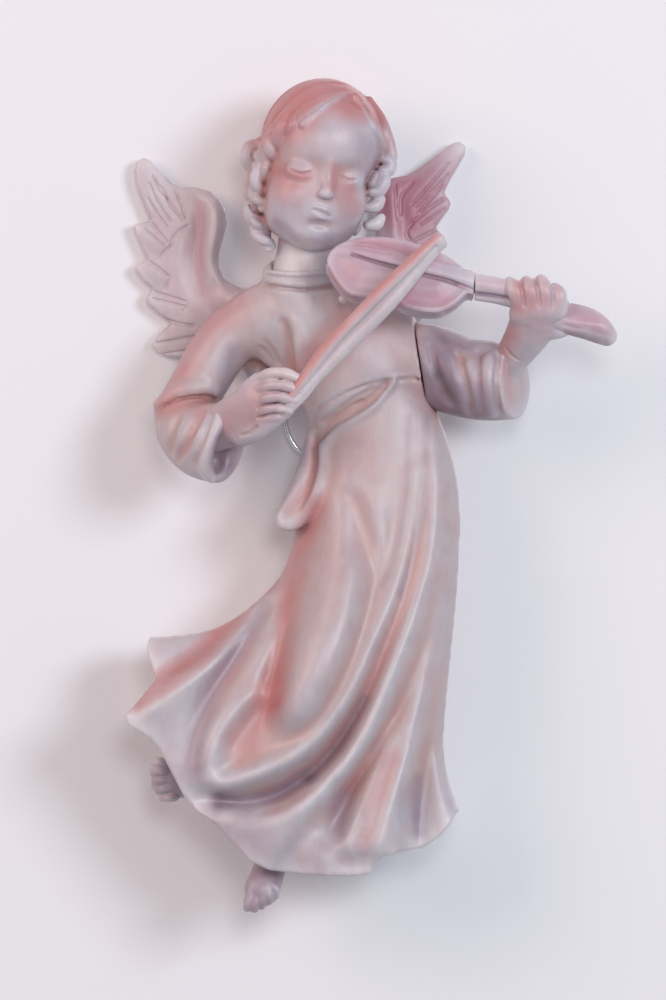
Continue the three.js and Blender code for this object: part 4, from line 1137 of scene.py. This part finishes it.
RIGHT_WING = [
    (-49.4, 50.4), (-48.6, 52.4), (-47.2, 53.3), (-45.4, 52.7), (-43, 49.9), (-39.8, 46.9), (-37.6, 45.9),
    (-34.2, 45.9), (-30.7, 45), (-27.9, 42.6), (-26.3, 39.4), (-26.1, 36.6), (-26.9, 33.4), (-28.1, 29),
    (-28, 26), (-26.6, 23), (-23.5, 20.6), (-17, 18), (-15, 8), (-20, -1), (-35.6, 2.7), (-40.5, 3.1),
    (-43.7, 4.3), (-45.2, 6.3), (-43, 9.6), (-40.4, 11.7), (-43.7, 14.2), (-46.1, 16.3), (-46.6, 18),
    (-45, 20.3), (-47.2, 22.2), (-48.9, 24.3), (-49.4, 25.8), (-46.4, 27.9), (-47.9, 31.3), (-49.3, 34.5),
    (-49.7, 36.4), (-45.5, 37.5), (-46.5, 40.1), (-47.9, 43.3), (-49.1, 46.8),
]
RIGHT_WING_RELIEF = [
    [(-32, 43.8, 1.4), (-29.4, 41.6, 3), (-28.7, 37.6, 3.8), (-29.4, 32.5, 3.8),
     (-30.4, 27, 3), (-27.6, 21.5, 2.2), (-23, 16, 2)],
    [(-31, 41, 2.4), (-31, 37, 2.8), (-31.7, 31.7, 2.6), (-31.8, 27, 2)],
    [(-33, 42.6, 0.2), (-32.9, 37, 0), (-33.8, 31.7, 0), (-34.2, 25, 0.3),
     (-32, 18, 0.8)],
    [(-36.4, 39, 0.9), (-37.6, 33, 1.2), (-38.6, 26, 1.2), (-36.4, 19, 1.2),
     (-30, 12, 1.2)],
    [(-47, 50, 0.1), (-44, 44, 0.5), (-40.6, 38, 0.8)],
    [(-48.4, 35, 0), (-44.6, 32, 0.4), (-41.8, 29.4, 0.6)],
    [(-48, 25.6, 0), (-44.4, 24, 0.4), (-41.6, 22.4, 0.6)],
    [(-45.4, 17.4, 0), (-41.4, 15.6, 0.4), (-37.4, 14.2, 0.7)],
    [(-44, 5.8, -0.2), (-39, 5.6, 0.2), (-32, 6.6, 0.5)],
    [(-44, 8, 0.5), (-39, 9.4, 0.6), (-32, 10.6, 0.8)],
]
RIGHT_WING_LINES = [
    [(-39.6, 46, 0.25), (-38, 42.2, 0.35), (-36.9, 38.4, 0.25)],
    [(-43, 46.6, 0.2), (-40.6, 42, 0.35), (-37.6, 38.2, 0.25)],
    [(-46.2, 47.4, 0.2), (-43.8, 42, 0.35), (-40.6, 37.6, 0.3)],
    [(-46.4, 43.6, 0.2), (-44.4, 40, 0.3), (-41.6, 36.4, 0.25)],
    [(-45.4, 49.8, 0.15), (-43.4, 46, 0.25), (-41.6, 43.4, 0.2)],
    [(-36.3, 36.7, 0.35), (-38.4, 35.4, 0.45), (-39.9, 33.8, 0.45), (-40.8, 31.6, 0.35)],
    [(-45.4, 37.2, 0.35), (-43.6, 34.8, 0.4), (-41.6, 32.4, 0.4)],
    [(-47.4, 36, 0.2), (-44.8, 33.6, 0.3), (-42.4, 31.8, 0.25)],
    [(-40.8, 31.6, 0.3), (-43, 29.2, 0.4), (-43.6, 27.8, 0.35)],
    [(-46.4, 27.6, 0.35), (-44.2, 26.2, 0.45), (-41.4, 24, 0.3)],
    [(-41.2, 23, 0.3), (-41.6, 22, 0.4), (-42.2, 20.4, 0.35)],
    [(-45, 20, 0.4), (-41.2, 18.8, 0.45), (-37, 17.5, 0.3)],
    [(-45.2, 18.2, 0.25), (-41.2, 17.3, 0.3), (-37.4, 16.3, 0.3)],
    [(-36.7, 16.7, 0.3), (-36.8, 16.2, 0.35), (-37.6, 15.2, 0.3)],
    [(-43.6, 14.2, 0.25), (-39.8, 12.3, 0.4), (-34.8, 11.4, 0.35)],
    [(-44.8, 7, 0.3), (-40.2, 7.7, 0.4), (-34.6, 8.7, 0.35)],
    [(-42, 4.6, 0.2), (-38, 5, 0.3), (-33.6, 5.9, 0.25)],
]
LEFT_WING = [
    (12, 47), (15.1, 48.2), (18.6, 48.8), (22.4, 51.1), (27.5, 54.9), (30.4, 57), (32.2, 57.3),
    (33.6, 56), (33.4, 53.9), (31.6, 50.8), (29.5, 47.2), (28.2, 44.4), (29.9, 41.9), (29.4, 40.2),
    (27.5, 37.7), (26.2, 35.7), (28, 33), (26.6, 30.4), (25, 28.6), (26, 24.6), (22.4, 19.6), (23.4, 14),
    (17, 5), (13, 8), (11, 20), (11, 34),
]
LEFT_WING_RELIEF = [
    [(14.6, 46, 1.4), (15.4, 40, 2.2), (15.8, 33, 2.2), (15.6, 24, 2),
     (15, 12, 2)],
    [(17.4, 45, 0.4), (17.8, 40, 0.3), (18, 34, 0.6)],
    [(31.6, 55.6, 0), (26.6, 50.4, 0.4), (21.6, 45, 0.9), (19.6, 39, 1.2)],
    [(31.6, 51.8, -0.2), (27.2, 47.6, 0.2), (22.6, 42, 0.7)],
    [(28.8, 41.8, 0), (25.2, 39.8, 0.4), (21.2, 37, 0.9)],
    [(26.4, 34, 0), (22.4, 33, 0.6), (19, 31, 1)],
]
LEFT_WING_LINES = [
    [(16, 47.2, 0.3), (16.2, 43, 0.45), (16.6, 38.4, 0.4)],
    [(20.4, 47.6, 0.25), (17.6, 44.2, 0.4), (17.4, 39.6, 0.4)],
    [(29.4, 52.6, 0.2), (24.6, 46.8, 0.35), (20.2, 42, 0.3)],
    [(29.2, 49.6, 0.2), (26, 46, 0.35), (21.2, 41.6, 0.3)],
    [(27.8, 46.8, 0.2), (25.2, 43.8, 0.35), (21.8, 39.8, 0.3)],
    [(28.2, 43.6, 0.3), (24.8, 41.2, 0.4), (20.2, 37.4, 0.4)],
    [(28.4, 41, 0.2), (25.6, 39, 0.3), (22.2, 36.8, 0.25)],
    [(20.2, 37.4, 0.4), (18.9, 35.4, 0.45), (19.4, 33.4, 0.45), (21.4, 31.6, 0.3)],
    [(26, 35.6, 0.3), (23.6, 34.4, 0.4), (20.8, 33, 0.3)],
]


WING_CENTRE = np.array([0.25, -32.5])
WING_SCALE = 1.01
WING_FRONT_Y = -1.2
WING_BACK_Y = 2.4


def make_wing(outline, relief, lines, stub):
    """A carved plate with its flat back against the wall."""
    corners = np.array(outline)
    # the wings lie deeper than the rest, so they are a little larger to look as large
    corners = WING_CENTRE + (corners - WING_CENTRE) * WING_SCALE
    low, high = corners.min(0) - 2.5, corners.max(0) + 2.5
    room = Map(low[0] - 1, high[0] + 1, low[1] - 1, high[1] + 1, 0.3)
    closed = np.vstack([corners, corners[:1]])
    inside = room.inside(closed)
    edge = room.signed(closed)
    pinned, height = room.pin(relief)
    border = ~inside
    height = relax(pinned & inside | border, np.where(border, -0.5, height))
    height = soften(height, 1.5)
    clay = Clay((low[0], -24.0 if stub else -6.0, low[1]), (high[0], 4.0, high[1]), 0.3)
    y = clay.places()[1]
    body = smooth_max(np.broadcast_to(WING_FRONT_Y - y, clay.d.shape) - room.over(height, clay),
                      np.broadcast_to(y - WING_BACK_Y, clay.d.shape), 0.5)
    clay.d = smooth_max(body, room.over(edge, clay) + 0.15, 0.9).astype(np.float32)
    clay.strand(stub, 2.5)
    clay.d = smooth_max(clay.d, np.broadcast_to(y - WING_BACK_Y, clay.d.shape), 0.4)
    for line in lines:
        clay.draw(line, 0.3, 0.3)
    return clay


RIGHT_WING_WASH = [([(-33.4, 42), (-33.6, 30), (-33, 20)], 1.6, 0.4),
                   ([(-47, 50), (-45, 30), (-42, 10)], 3.0, -0.2)]
LEFT_WING_WASH = [([(18, 44), (28, 50)], 7.0, 0.6), ([(20, 40), (24, 30)], 8.0, 0.85)]


# ------------------------------------------------------------------ feet


def make_right_foot():
    clay = Clay((-50, -30, -113), (-24, -11, -92), 0.25)
    clay.strand([(-27, -19, -100, 4), (-33, -20, -101, 4.6),
                 (-38.6, -20.6, -102.2, 4.9), (-40.8, -20.8, -102.8, 4.4)], 1.0, flat=0.8)
    for i, reach in enumerate((-45.2, -45.6, -45.2, -44.4, -43.4)):
        z = -98.2 - 2.15 * i
        size = 1.45 - 0.09 * i
        clay.strand([(-39.6, -22.4, z - 0.2 * (2 - i), 1.5), (reach + 2.6, -23.6, z, size),
                     (reach + size, -22.6, z, size)], 0.35)
    return clay


def make_left_foot():
    clay = Clay((-26, -38, -140), (-7.5, -17, -108), 0.25)
    clay.strand([(-12.4, -23.6, -112, 4.6), (-14, -24.4, -119, 4.1),
                 (-15.8, -26.4, -125, 4.1), (-17.4, -28.6, -129.4, 4.4)], 1.0, flat=0.85)
    for i, reach in enumerate((-135, -135.2, -134.4, -133.2, -131.8)):
        x = -20.8 + 1.75 * i
        size = 1.15 - 0.08 * i
        clay.strand([(-17.6 + 0.9 * (i - 2), -30.0, -128.0, 1.5), (x, -31.4, reach + 2.6, size),
                     (x - 0.2, -30.4, reach + size, size)], 0.35)
    return clay


# greys both feet all over
FEET_GREY = [([(-42, -103)], 6.0, -0.7), ([(-16, -122), (-18, -132)], 6.0, -0.9)]


# ------------------------------------------------------------------ hardware


def tube(name, path, across, along_axis, axis, sides=12, closed=False):
    """A wire with an oval section. across is its half size in its own plane."""
    path = np.array(path, float)
    axis = np.array(axis, float)
    if closed:
        ahead = np.roll(path, -1, 0) - np.roll(path, 1, 0)
    else:
        ahead = np.gradient(path, axis=0)
    ahead /= np.linalg.norm(ahead, axis=1)[:, None]
    out = np.cross(ahead, axis)
    out /= np.linalg.norm(out, axis=1)[:, None]
    up = np.cross(out, ahead)
    points = []
    for i in range(sides):
        turn = 2 * math.pi * i / sides
        points.append(path + out * across * math.cos(turn) + up * along_axis * math.sin(turn))
    points = np.stack(points, axis=1)
    count = len(path)
    faces = []
    for i in range(count if closed else count - 1):
        for k in range(sides):
            a, b = i * sides + k, i * sides + (k + 1) % sides
            c, d = (i + 1) % count * sides + (k + 1) % sides, (i + 1) % count * sides + k
            faces.append((a, b, c, d))
    if not closed:
        faces.append(tuple(range(sides))[::-1])
        faces.append(tuple(range((count - 1) * sides, count * sides)))
    mesh = bpy.data.meshes.new(name)
    mesh.from_pydata((points.reshape(-1, 3) * MM).tolist(), [], faces)
    mesh.polygons.foreach_set("use_smooth", np.ones(len(mesh.polygons), bool))
    return add_object(name, mesh)


RING_RADIUS = 11.7  # to the middle of the wire
RING_WIRE = (0.65, 0.49)  # half its height and half its depth
EYE_RADIUS = 2.6
EYE_WIRE = 0.8
SHANK_RADIUS = 1.0


def make_ring():
    """Two turns of wire, side by side, that hang from the eye."""
    turn = np.linspace(0.0, 4 * math.pi, 241)
    across = np.linspace(-0.5, 0.5, len(turn))
    x, z = RING_RADIUS * np.cos(turn), -RING_RADIUS + RING_RADIUS * np.sin(turn)
    return tube("split_ring_coil", np.column_stack([x, across, z]), *RING_WIRE, (0, 1, 0))


def make_eye():
    turn = np.linspace(0.0, 2 * math.pi, 48, endpoint=False)
    loop = np.column_stack([0 * turn, EYE_RADIUS * np.cos(turn), EYE_RADIUS * np.sin(turn)])
    eye = tube("screw_eye_loop", loop, EYE_WIRE, EYE_WIRE, (1, 0, 0), closed=True)
    along = [(0.0, y, 0.0) for y in (-2.6, -4, -9, -15.5, -17)]
    shank = tube("screw_eye_shank", along, SHANK_RADIUS, SHANK_RADIUS, (1, 0, 0))
    return eye, shank


# ------------------------------------------------------------------ materials


class Nodes:
    """A small helper for building a material's nodes."""

    def __init__(self, name):
        self.material = bpy.data.materials.new(name)
        self.material.use_nodes = True
        self.tree = self.material.node_tree
        self.tree.nodes.clear()
        self.output = self.add("ShaderNodeOutputMaterial")

    def add(self, kind, **settings):
        node = self.tree.nodes.new(kind)
        for key, value in settings.items():
            setattr(node, key, value)
        return node

    def link(self, source, target):
        self.tree.links.new(source, target)

    def attribute(self, name):
        return self.add("ShaderNodeAttribute", attribute_name=name).outputs["Fac"]

    def noise(self, scale, detail=3.0, stretch=(1, 1, 1)):
        """Noise in the object's own millimetres; scale is in blobs per millimetre."""
        place = self.add("ShaderNodeTexCoord").outputs["Object"]
        mapping = self.add("ShaderNodeMapping")
        mapping.inputs["Scale"].default_value = [s / MM for s in stretch]
        self.link(place, mapping.inputs["Vector"])
        noise = self.add("ShaderNodeTexNoise")
        noise.inputs["Scale"].default_value = scale
        noise.inputs["Detail"].default_value = detail
        self.link(mapping.outputs[0], noise.inputs["Vector"])
        return noise.outputs["Fac"]

    def map(self, value, low, high, to_low=0.0, to_high=1.0):
        node = self.add("ShaderNodeMapRange", clamp=True)
        node.inputs["From Min"].default_value = low
        node.inputs["From Max"].default_value = high
        node.inputs["To Min"].default_value = to_low
        node.inputs["To Max"].default_value = to_high
        self.link(value, node.inputs["Value"])
        return node.outputs[0]

    def math(self, operation, *values):
        node = self.add("ShaderNodeMath", operation=operation, use_clamp=False)
        for socket, value in zip(node.inputs, values):
            if isinstance(value, (int, float)):
                socket.default_value = value
            else:
                self.link(value, socket)
        return node.outputs[0]

    def blend(self, factor, under, over):
        node = self.add("ShaderNodeMix", data_type="RGBA")
        for socket, value in zip((node.inputs[0], node.inputs[6], node.inputs[7]),
                                 (factor, under, over)):
            if isinstance(value, (int, float)):
                socket.default_value = value
            elif isinstance(value, tuple):
                socket.default_value = (*value, 1.0)
            else:
                self.link(value, socket)
        return node.outputs[2]

    def principled(self, colour, **values):
        """The shader on the surface; values name its sockets, with _ for a space."""
        shader = self.add("ShaderNodeBsdfPrincipled")
        self.link(colour, shader.inputs["Base Color"])
        for key, value in values.items():
            shader.inputs[key.replace("_", " ")].default_value = value
        self.link(shader.outputs[0], self.output.inputs["Surface"])
        return shader


def linear(red, green, blue):
    """An sRGB colour of 0..255 as the shader's linear colour."""
    return tuple(
        c / 12.92 if c <= 0.04045 else ((c + 0.055) / 1.055) ** 2.4
        for c in (red / 255, green / 255, blue / 255)
    )


# Colours of the resin. The crest colour is a painted highlight on thin convex crests. SHADE is the grey
# of painted shade, also used for random mottling; DARK is the dark of painted shade in cracks and the
# deepest hollows. The stain colour is real stain that, in the hollows and in the tints, also stands in
# for painted shade and a painted warm reflection.
PAINTED_HIGHLIGHT_CREST = linear(210, 206, 209)
SHADE = linear(140, 125, 140)
STAIN_AND_PAINTED_SHADE = linear(181, 119, 119)
MAUVE = linear(174, 116, 131)
DARK = linear(92, 76, 80)


def cast_resin(name, pale, body, stain_and_shade=STAIN_AND_PAINTED_SHADE):
    """Satin cast resin, with painted light and shade: a painted highlight on the crests, a warm stain in
    the hollows that is partly real stain and partly painted shade, and painted shade, dark, in the cracks
    and the deepest hollows.

    The tint attribute adds stain where it is positive, partly as a painted warm reflection, and painted
    shade, cool grey and then dark, where it is negative."""
    n = Nodes(name)
    patches = n.math("SUBTRACT", n.noise(0.06, 3.0), 0.5)
    hollow = n.math("ADD", n.attribute("hollow"), n.math("MULTIPLY", patches, 0.22))
    crease = n.attribute("crease")
    unevenness = n.map(n.noise(0.14, 3.0), 0.3, 0.7, 0.75, 1.15)
    tint_and_shade = n.math("MULTIPLY", n.attribute("tint_and_shade"), unevenness)
    # painted highlight: thin convex crests come out lighter than the pale colour
    colour = n.blend(n.map(hollow, 0.10, 0.36), PAINTED_HIGHLIGHT_CREST, pale)
    # the hollows go towards the body colour and the stain: partly real stain, partly painted shade
    colour = n.blend(n.map(hollow, 0.36, 0.56), colour, body)
    colour = n.blend(n.map(hollow, 0.53, 0.74, 0.0, 0.75), colour, stain_and_shade)
    # tints: stain where positive, partly a painted warm reflection; painted shade, grey and then dark,
    # where negative
    colour = n.blend(n.map(tint_and_shade, 0.05, 1.0), colour, stain_and_shade)
    colour = n.blend(n.map(tint_and_shade, -0.05, -1.0), colour, SHADE)
    colour = n.blend(n.map(tint_and_shade, -1.0, -2.0), colour, DARK)
    # painted shade: stain and then dark in the narrow creases and the deepest hollows
    colour = n.blend(n.map(crease, 0.60, 0.76, 0.0, 0.35), colour, stain_and_shade)
    colour = n.blend(n.map(hollow, 0.66, 0.88, 0.0, 0.75), colour, DARK)
    colour = n.blend(n.map(crease, 0.66, 0.86), colour, DARK)
    grain = n.noise(0.45, 4.0, (1.0, 1.0, 0.5))
    colour = n.blend(n.map(grain, 0.35, 0.75, 0.0, 0.22), colour, stain_and_shade)
    mottle = n.noise(0.16, 4.0)
    colour = n.blend(n.map(mottle, 0.50, 0.72, 0.0, 0.18), colour, SHADE)
    shader = n.principled(colour, Roughness=0.42, Specular_IOR_Level=0.55, Coat_Weight=0.12,
                          Coat_Roughness=0.35)
    bump = n.add("ShaderNodeBump")
    bump.inputs["Strength"].default_value = 0.45
    bump.inputs["Distance"].default_value = 0.15 * MM
    n.link(n.noise(0.9, 3.0, (1.0, 1.0, 0.3)), bump.inputs["Height"])
    n.link(bump.outputs[0], shader.inputs["Normal"])
    return n.material


def bright_metal(name):
    n = Nodes(name)
    smear = n.noise(0.25, 3.0)
    colour = n.blend(n.map(smear, 0.35, 0.7), linear(222, 225, 232), linear(182, 186, 196))
    shader = n.principled(colour, Metallic=1.0)
    n.link(n.map(smear, 0.3, 0.7, 0.08, 0.2), shader.inputs["Roughness"])
    return n.material


def peg_wood(name):
    n = Nodes(name)
    grain = n.noise(0.35, 4.0, (1.0, 1.0, 0.08))
    colour = n.blend(n.map(grain, 0.35, 0.7), linear(214, 184, 140), linear(176, 136, 92))
    n.principled(colour, Roughness=0.7)
    return n.material


# ------------------------------------------------------------------ stage


CAMERA_AWAY = 2000.0  # from the figure's middle, in mm
VIEW_MIDDLE = (0.25, -20.0, -32.5)  # mm
VIEW_HEIGHT = 250.0  # of the frame at the figure, in mm
SENSOR = 36.0
BACKDROP_Y = 3.75 * MM
BACKDROP_REACH = 1.6  # m, each way
LIT_POINT = (0.0, 0.0, -0.03)
LIGHTS = [
    # name, place, size, power, colour
    ("key", (0.95, -1.30, 0.35), 0.55, 12.0, (0.86, 0.93, 1.0)),
    ("warm", (-0.85, -0.80, 0.45), 0.80, 6.5, (1.0, 0.68, 0.58)),
    ("front", (0.15, -1.90, 0.30), 0.40, 6.8, (1.0, 0.99, 0.98)),
    ("back", (0.35, 1.30, 0.40), 0.80, 9.0, (1.0, 0.98, 0.97)),
]


def make_camera():
    data = bpy.data.cameras.new("camera")
    data.lens = SENSOR * CAMERA_AWAY / VIEW_HEIGHT
    data.sensor_width = SENSOR
    data.sensor_fit = "AUTO"
    data.clip_start = 0.01
    made = add_object("camera", data)
    x, y, z = VIEW_MIDDLE
    made.location = (x * MM, (y - CAMERA_AWAY) * MM, z * MM)
    made.rotation_euler = (math.pi / 2, 0.0, 0.0)
    bpy.context.scene.camera = made


def make_light(name, at, size, power, colour):
    data = bpy.data.lights.new(name, "AREA")
    data.shape = "DISK"
    data.size = size
    data.energy = power
    data.color = colour
    made = add_object(name, data)
    made.location = at
    made.rotation_euler = (Vector(LIT_POINT) - Vector(at)).to_track_quat("-Z", "Y").to_euler()


def make_backdrop():
    """The pale surface that the figure lies against. Only its front shows."""
    mesh = bpy.data.meshes.new("backdrop")
    corners = [(BACKDROP_REACH * x, BACKDROP_Y, BACKDROP_REACH * z)
               for x, z in ((-1, -1), (1, -1), (1, 1), (-1, 1))]
    mesh.from_pydata(corners, [], [(0, 1, 2, 3)])
    made = add_object("backdrop", mesh)
    n = Nodes("backdrop_paper")
    paper = n.add("ShaderNodeBsdfDiffuse")
    paper.inputs["Color"].default_value = (*linear(226, 226, 230), 1.0)
    clear = n.add("ShaderNodeBsdfTransparent")
    side = n.add("ShaderNodeNewGeometry").outputs["Backfacing"]
    mix = n.add("ShaderNodeMixShader")
    n.link(side, mix.inputs[0])
    n.link(paper.outputs[0], mix.inputs[1])
    n.link(clear.outputs[0], mix.inputs[2])
    n.link(mix.outputs[0], n.output.inputs["Surface"])
    made.data.materials.append(n.material)
    made.visible_shadow = False  # the light behind it reaches the figure's back


def make_stage():
    world = bpy.data.worlds.new("studio")
    world.use_nodes = True
    sky = world.node_tree.nodes["Background"]
    sky.inputs["Color"].default_value = (0.92, 0.93, 1.0, 1.0)
    sky.inputs["Strength"].default_value = 0.42
    bpy.context.scene.world = world
    bpy.context.scene.view_settings.view_transform = "Standard"
    make_backdrop()
    for light in LIGHTS:
        make_light(*light)
    make_camera()


# ------------------------------------------------------------------ assembly

ROBE_RESIN = cast_resin("robe_resin_stain_and_painted_light", linear(182, 177, 183), linear(180, 157, 155))
SKIN_RESIN = cast_resin("skin_resin_stain_and_painted_light", linear(184, 181, 191), linear(183, 158, 158))
WING_RESIN = cast_resin(
    "wing_resin_stain_and_painted_light", linear(194, 182, 188), linear(186, 162, 168), MAUVE)
VIOLIN_RESIN = cast_resin(
    "violin_resin_stain_and_painted_light", linear(186, 172, 184), linear(180, 146, 158), MAUVE)
BOW_RESIN = cast_resin("bow_resin_stain_and_painted_light", linear(190, 178, 183), linear(184, 158, 162))
CHROME = bright_metal("bright_chrome")
WOOD = peg_wood("turned_peg_wood")


def place(piece, nodes, slot, material, body="figure"):
    piece.data.materials.append(material)
    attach(piece, body)
    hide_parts(*nodes)


TINT_SPREAD = 1.9  # each tint and painted shade fades out at this many of its radii


def tint_and_shade_at(points, tints_and_shades):
    """How much tint and painted shade each point (x, z) gets. Each entry is (line of (x, z), radius,
    strength): stain where positive, painted shade where negative.
    """
    amount = np.zeros(len(points))
    for line, radius, strength in tints_and_shades:
        gap = np.full(len(points), np.inf)
        path = np.array(line, float)
        for a, b in zip(path, path[1:] if len(path) > 1 else path):
            along = b - a
            t = np.clip((points - a) @ along / (along @ along + 1e-9), 0.0, 1.0)
            gap = np.minimum(gap, np.linalg.norm(points - a - t[:, None] * along, axis=1))
        amount += strength * (1.0 - ease(gap, 0.0, TINT_SPREAD * radius))
    return amount


def paint_light_over_hollows(mesh, points, x, z, radius, amount):
    """Painted light: makes the hollows round a place of the front view count for less, so that it takes
    less stain and painted shade and comes out paler.
    """
    hollow = mesh.attributes["hollow"].data
    values = np.empty(len(points), np.float32)
    hollow.foreach_get("value", values)
    gap = np.hypot(points[:, 0] - x, points[:, 1] - z)
    values -= amount * (1.0 - ease(gap, 0.3 * radius, radius))
    hollow.foreach_set("value", values)


def cast(clay, nodes, slot, material, tints_and_shades, painted_light=None, all_round=False):
    """Skins a sculpted piece, tints it, paints light and shade on it and puts it in the place of its
    nodes.

    The place given as (x, z, radius, amount) is painted paler: painted light, with less stain and painted
    shade in its hollows. The tints and painted shade fade towards the back unless all_round is set."""
    piece = clay.skin(nodes[0] + "_casting")
    mesh = piece.data
    points, normals = np.empty((2, len(mesh.vertices) * 3), np.float32)
    mesh.vertices.foreach_get("co", points)
    mesh.vertex_normals.foreach_get("vector", normals)
    points = points.reshape(-1, 3)[:, [0, 2]] / MM
    amount = tint_and_shade_at(points, tints_and_shades)
    if not all_round:
        amount = amount * ease(-normals[1::3], -0.4, 0.2)
    keep_value(mesh, "tint_and_shade", amount)
    if painted_light is not None:
        paint_light_over_hollows(mesh, points, *painted_light)
    place(piece, nodes, slot, material)


ROBE = make_robe()
LEFT_SLEEVE = make_left_sleeve()
# painted shade: the robe and the left sleeve darken each other's hollows where they meet
for clay, other in ((ROBE, LEFT_SLEEVE), (LEFT_SLEEVE, ROBE)):
    clay.around = np.minimum(clay.d, beside(clay, other))
# painted light: the chest is painted paler
cast(ROBE, ("robe", "right_sleeve"), "robe_resin", ROBE_RESIN, ROBE_TINT_AND_SHADE,
     painted_light=(-9.0, 13.0, 14.0, 0.12))
cast(LEFT_SLEEVE, ("left_sleeve",), "robe_resin", ROBE_RESIN, LEFT_SLEEVE_TINT_AND_SHADE)
# painted light: the neck is painted paler
cast(make_head(), ("head",), "skin_resin", SKIN_RESIN, HEAD_TINT_AND_SHADE,
     painted_light=(-7.8, 27.0, 9.0, 0.42), all_round=True)
cast(make_right_hand(), ("right_hand",), "skin_resin", SKIN_RESIN, RIGHT_HAND_WASH)
cast(make_left_hand(), ("left_hand",), "skin_resin", SKIN_RESIN, LEFT_HAND_WASH)
cast(make_right_foot(), ("right_foot",), "skin_resin", SKIN_RESIN, FEET_GREY)
cast(make_left_foot(), ("left_foot",), "skin_resin", SKIN_RESIN, FEET_GREY)
cast(make_violin_body(), ("violin_body",), "violin_resin", VIOLIN_RESIN, VIOLIN_TINT_AND_SHADE)
cast(make_violin_neck(), ("violin_neck",), "violin_resin", VIOLIN_RESIN, NECK_TINT_AND_SHADE)
cast(make_bow(), ("bow",), "violin_resin", BOW_RESIN, BOW_WASH)
cast(make_wing(RIGHT_WING, RIGHT_WING_RELIEF, RIGHT_WING_LINES,
               [(-26, -0.6, 18, 3.4), (-18, -4, 15, 4.2), (-13, -10, 12, 4)]),
     ("right_wing",), "wing_resin", WING_RESIN, RIGHT_WING_WASH)
cast(make_wing(LEFT_WING, LEFT_WING_RELIEF, LEFT_WING_LINES,
               [(19, -0.6, 20, 3.4), (15.4, -4, 16.4, 4.2), (10, -10, 13, 4)]),
     ("left_wing",), "wing_resin", WING_RESIN, LEFT_WING_WASH)
place(make_ring(), ("split_ring",), "chrome", CHROME, "ring")
for part in make_eye():
    place(part, ("hanging_eye",), "chrome", CHROME)
for node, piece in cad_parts.items():
    if node.endswith("_peg"):
        piece.data.materials.clear()
        piece.data.materials.append(WOOD)

make_stage()
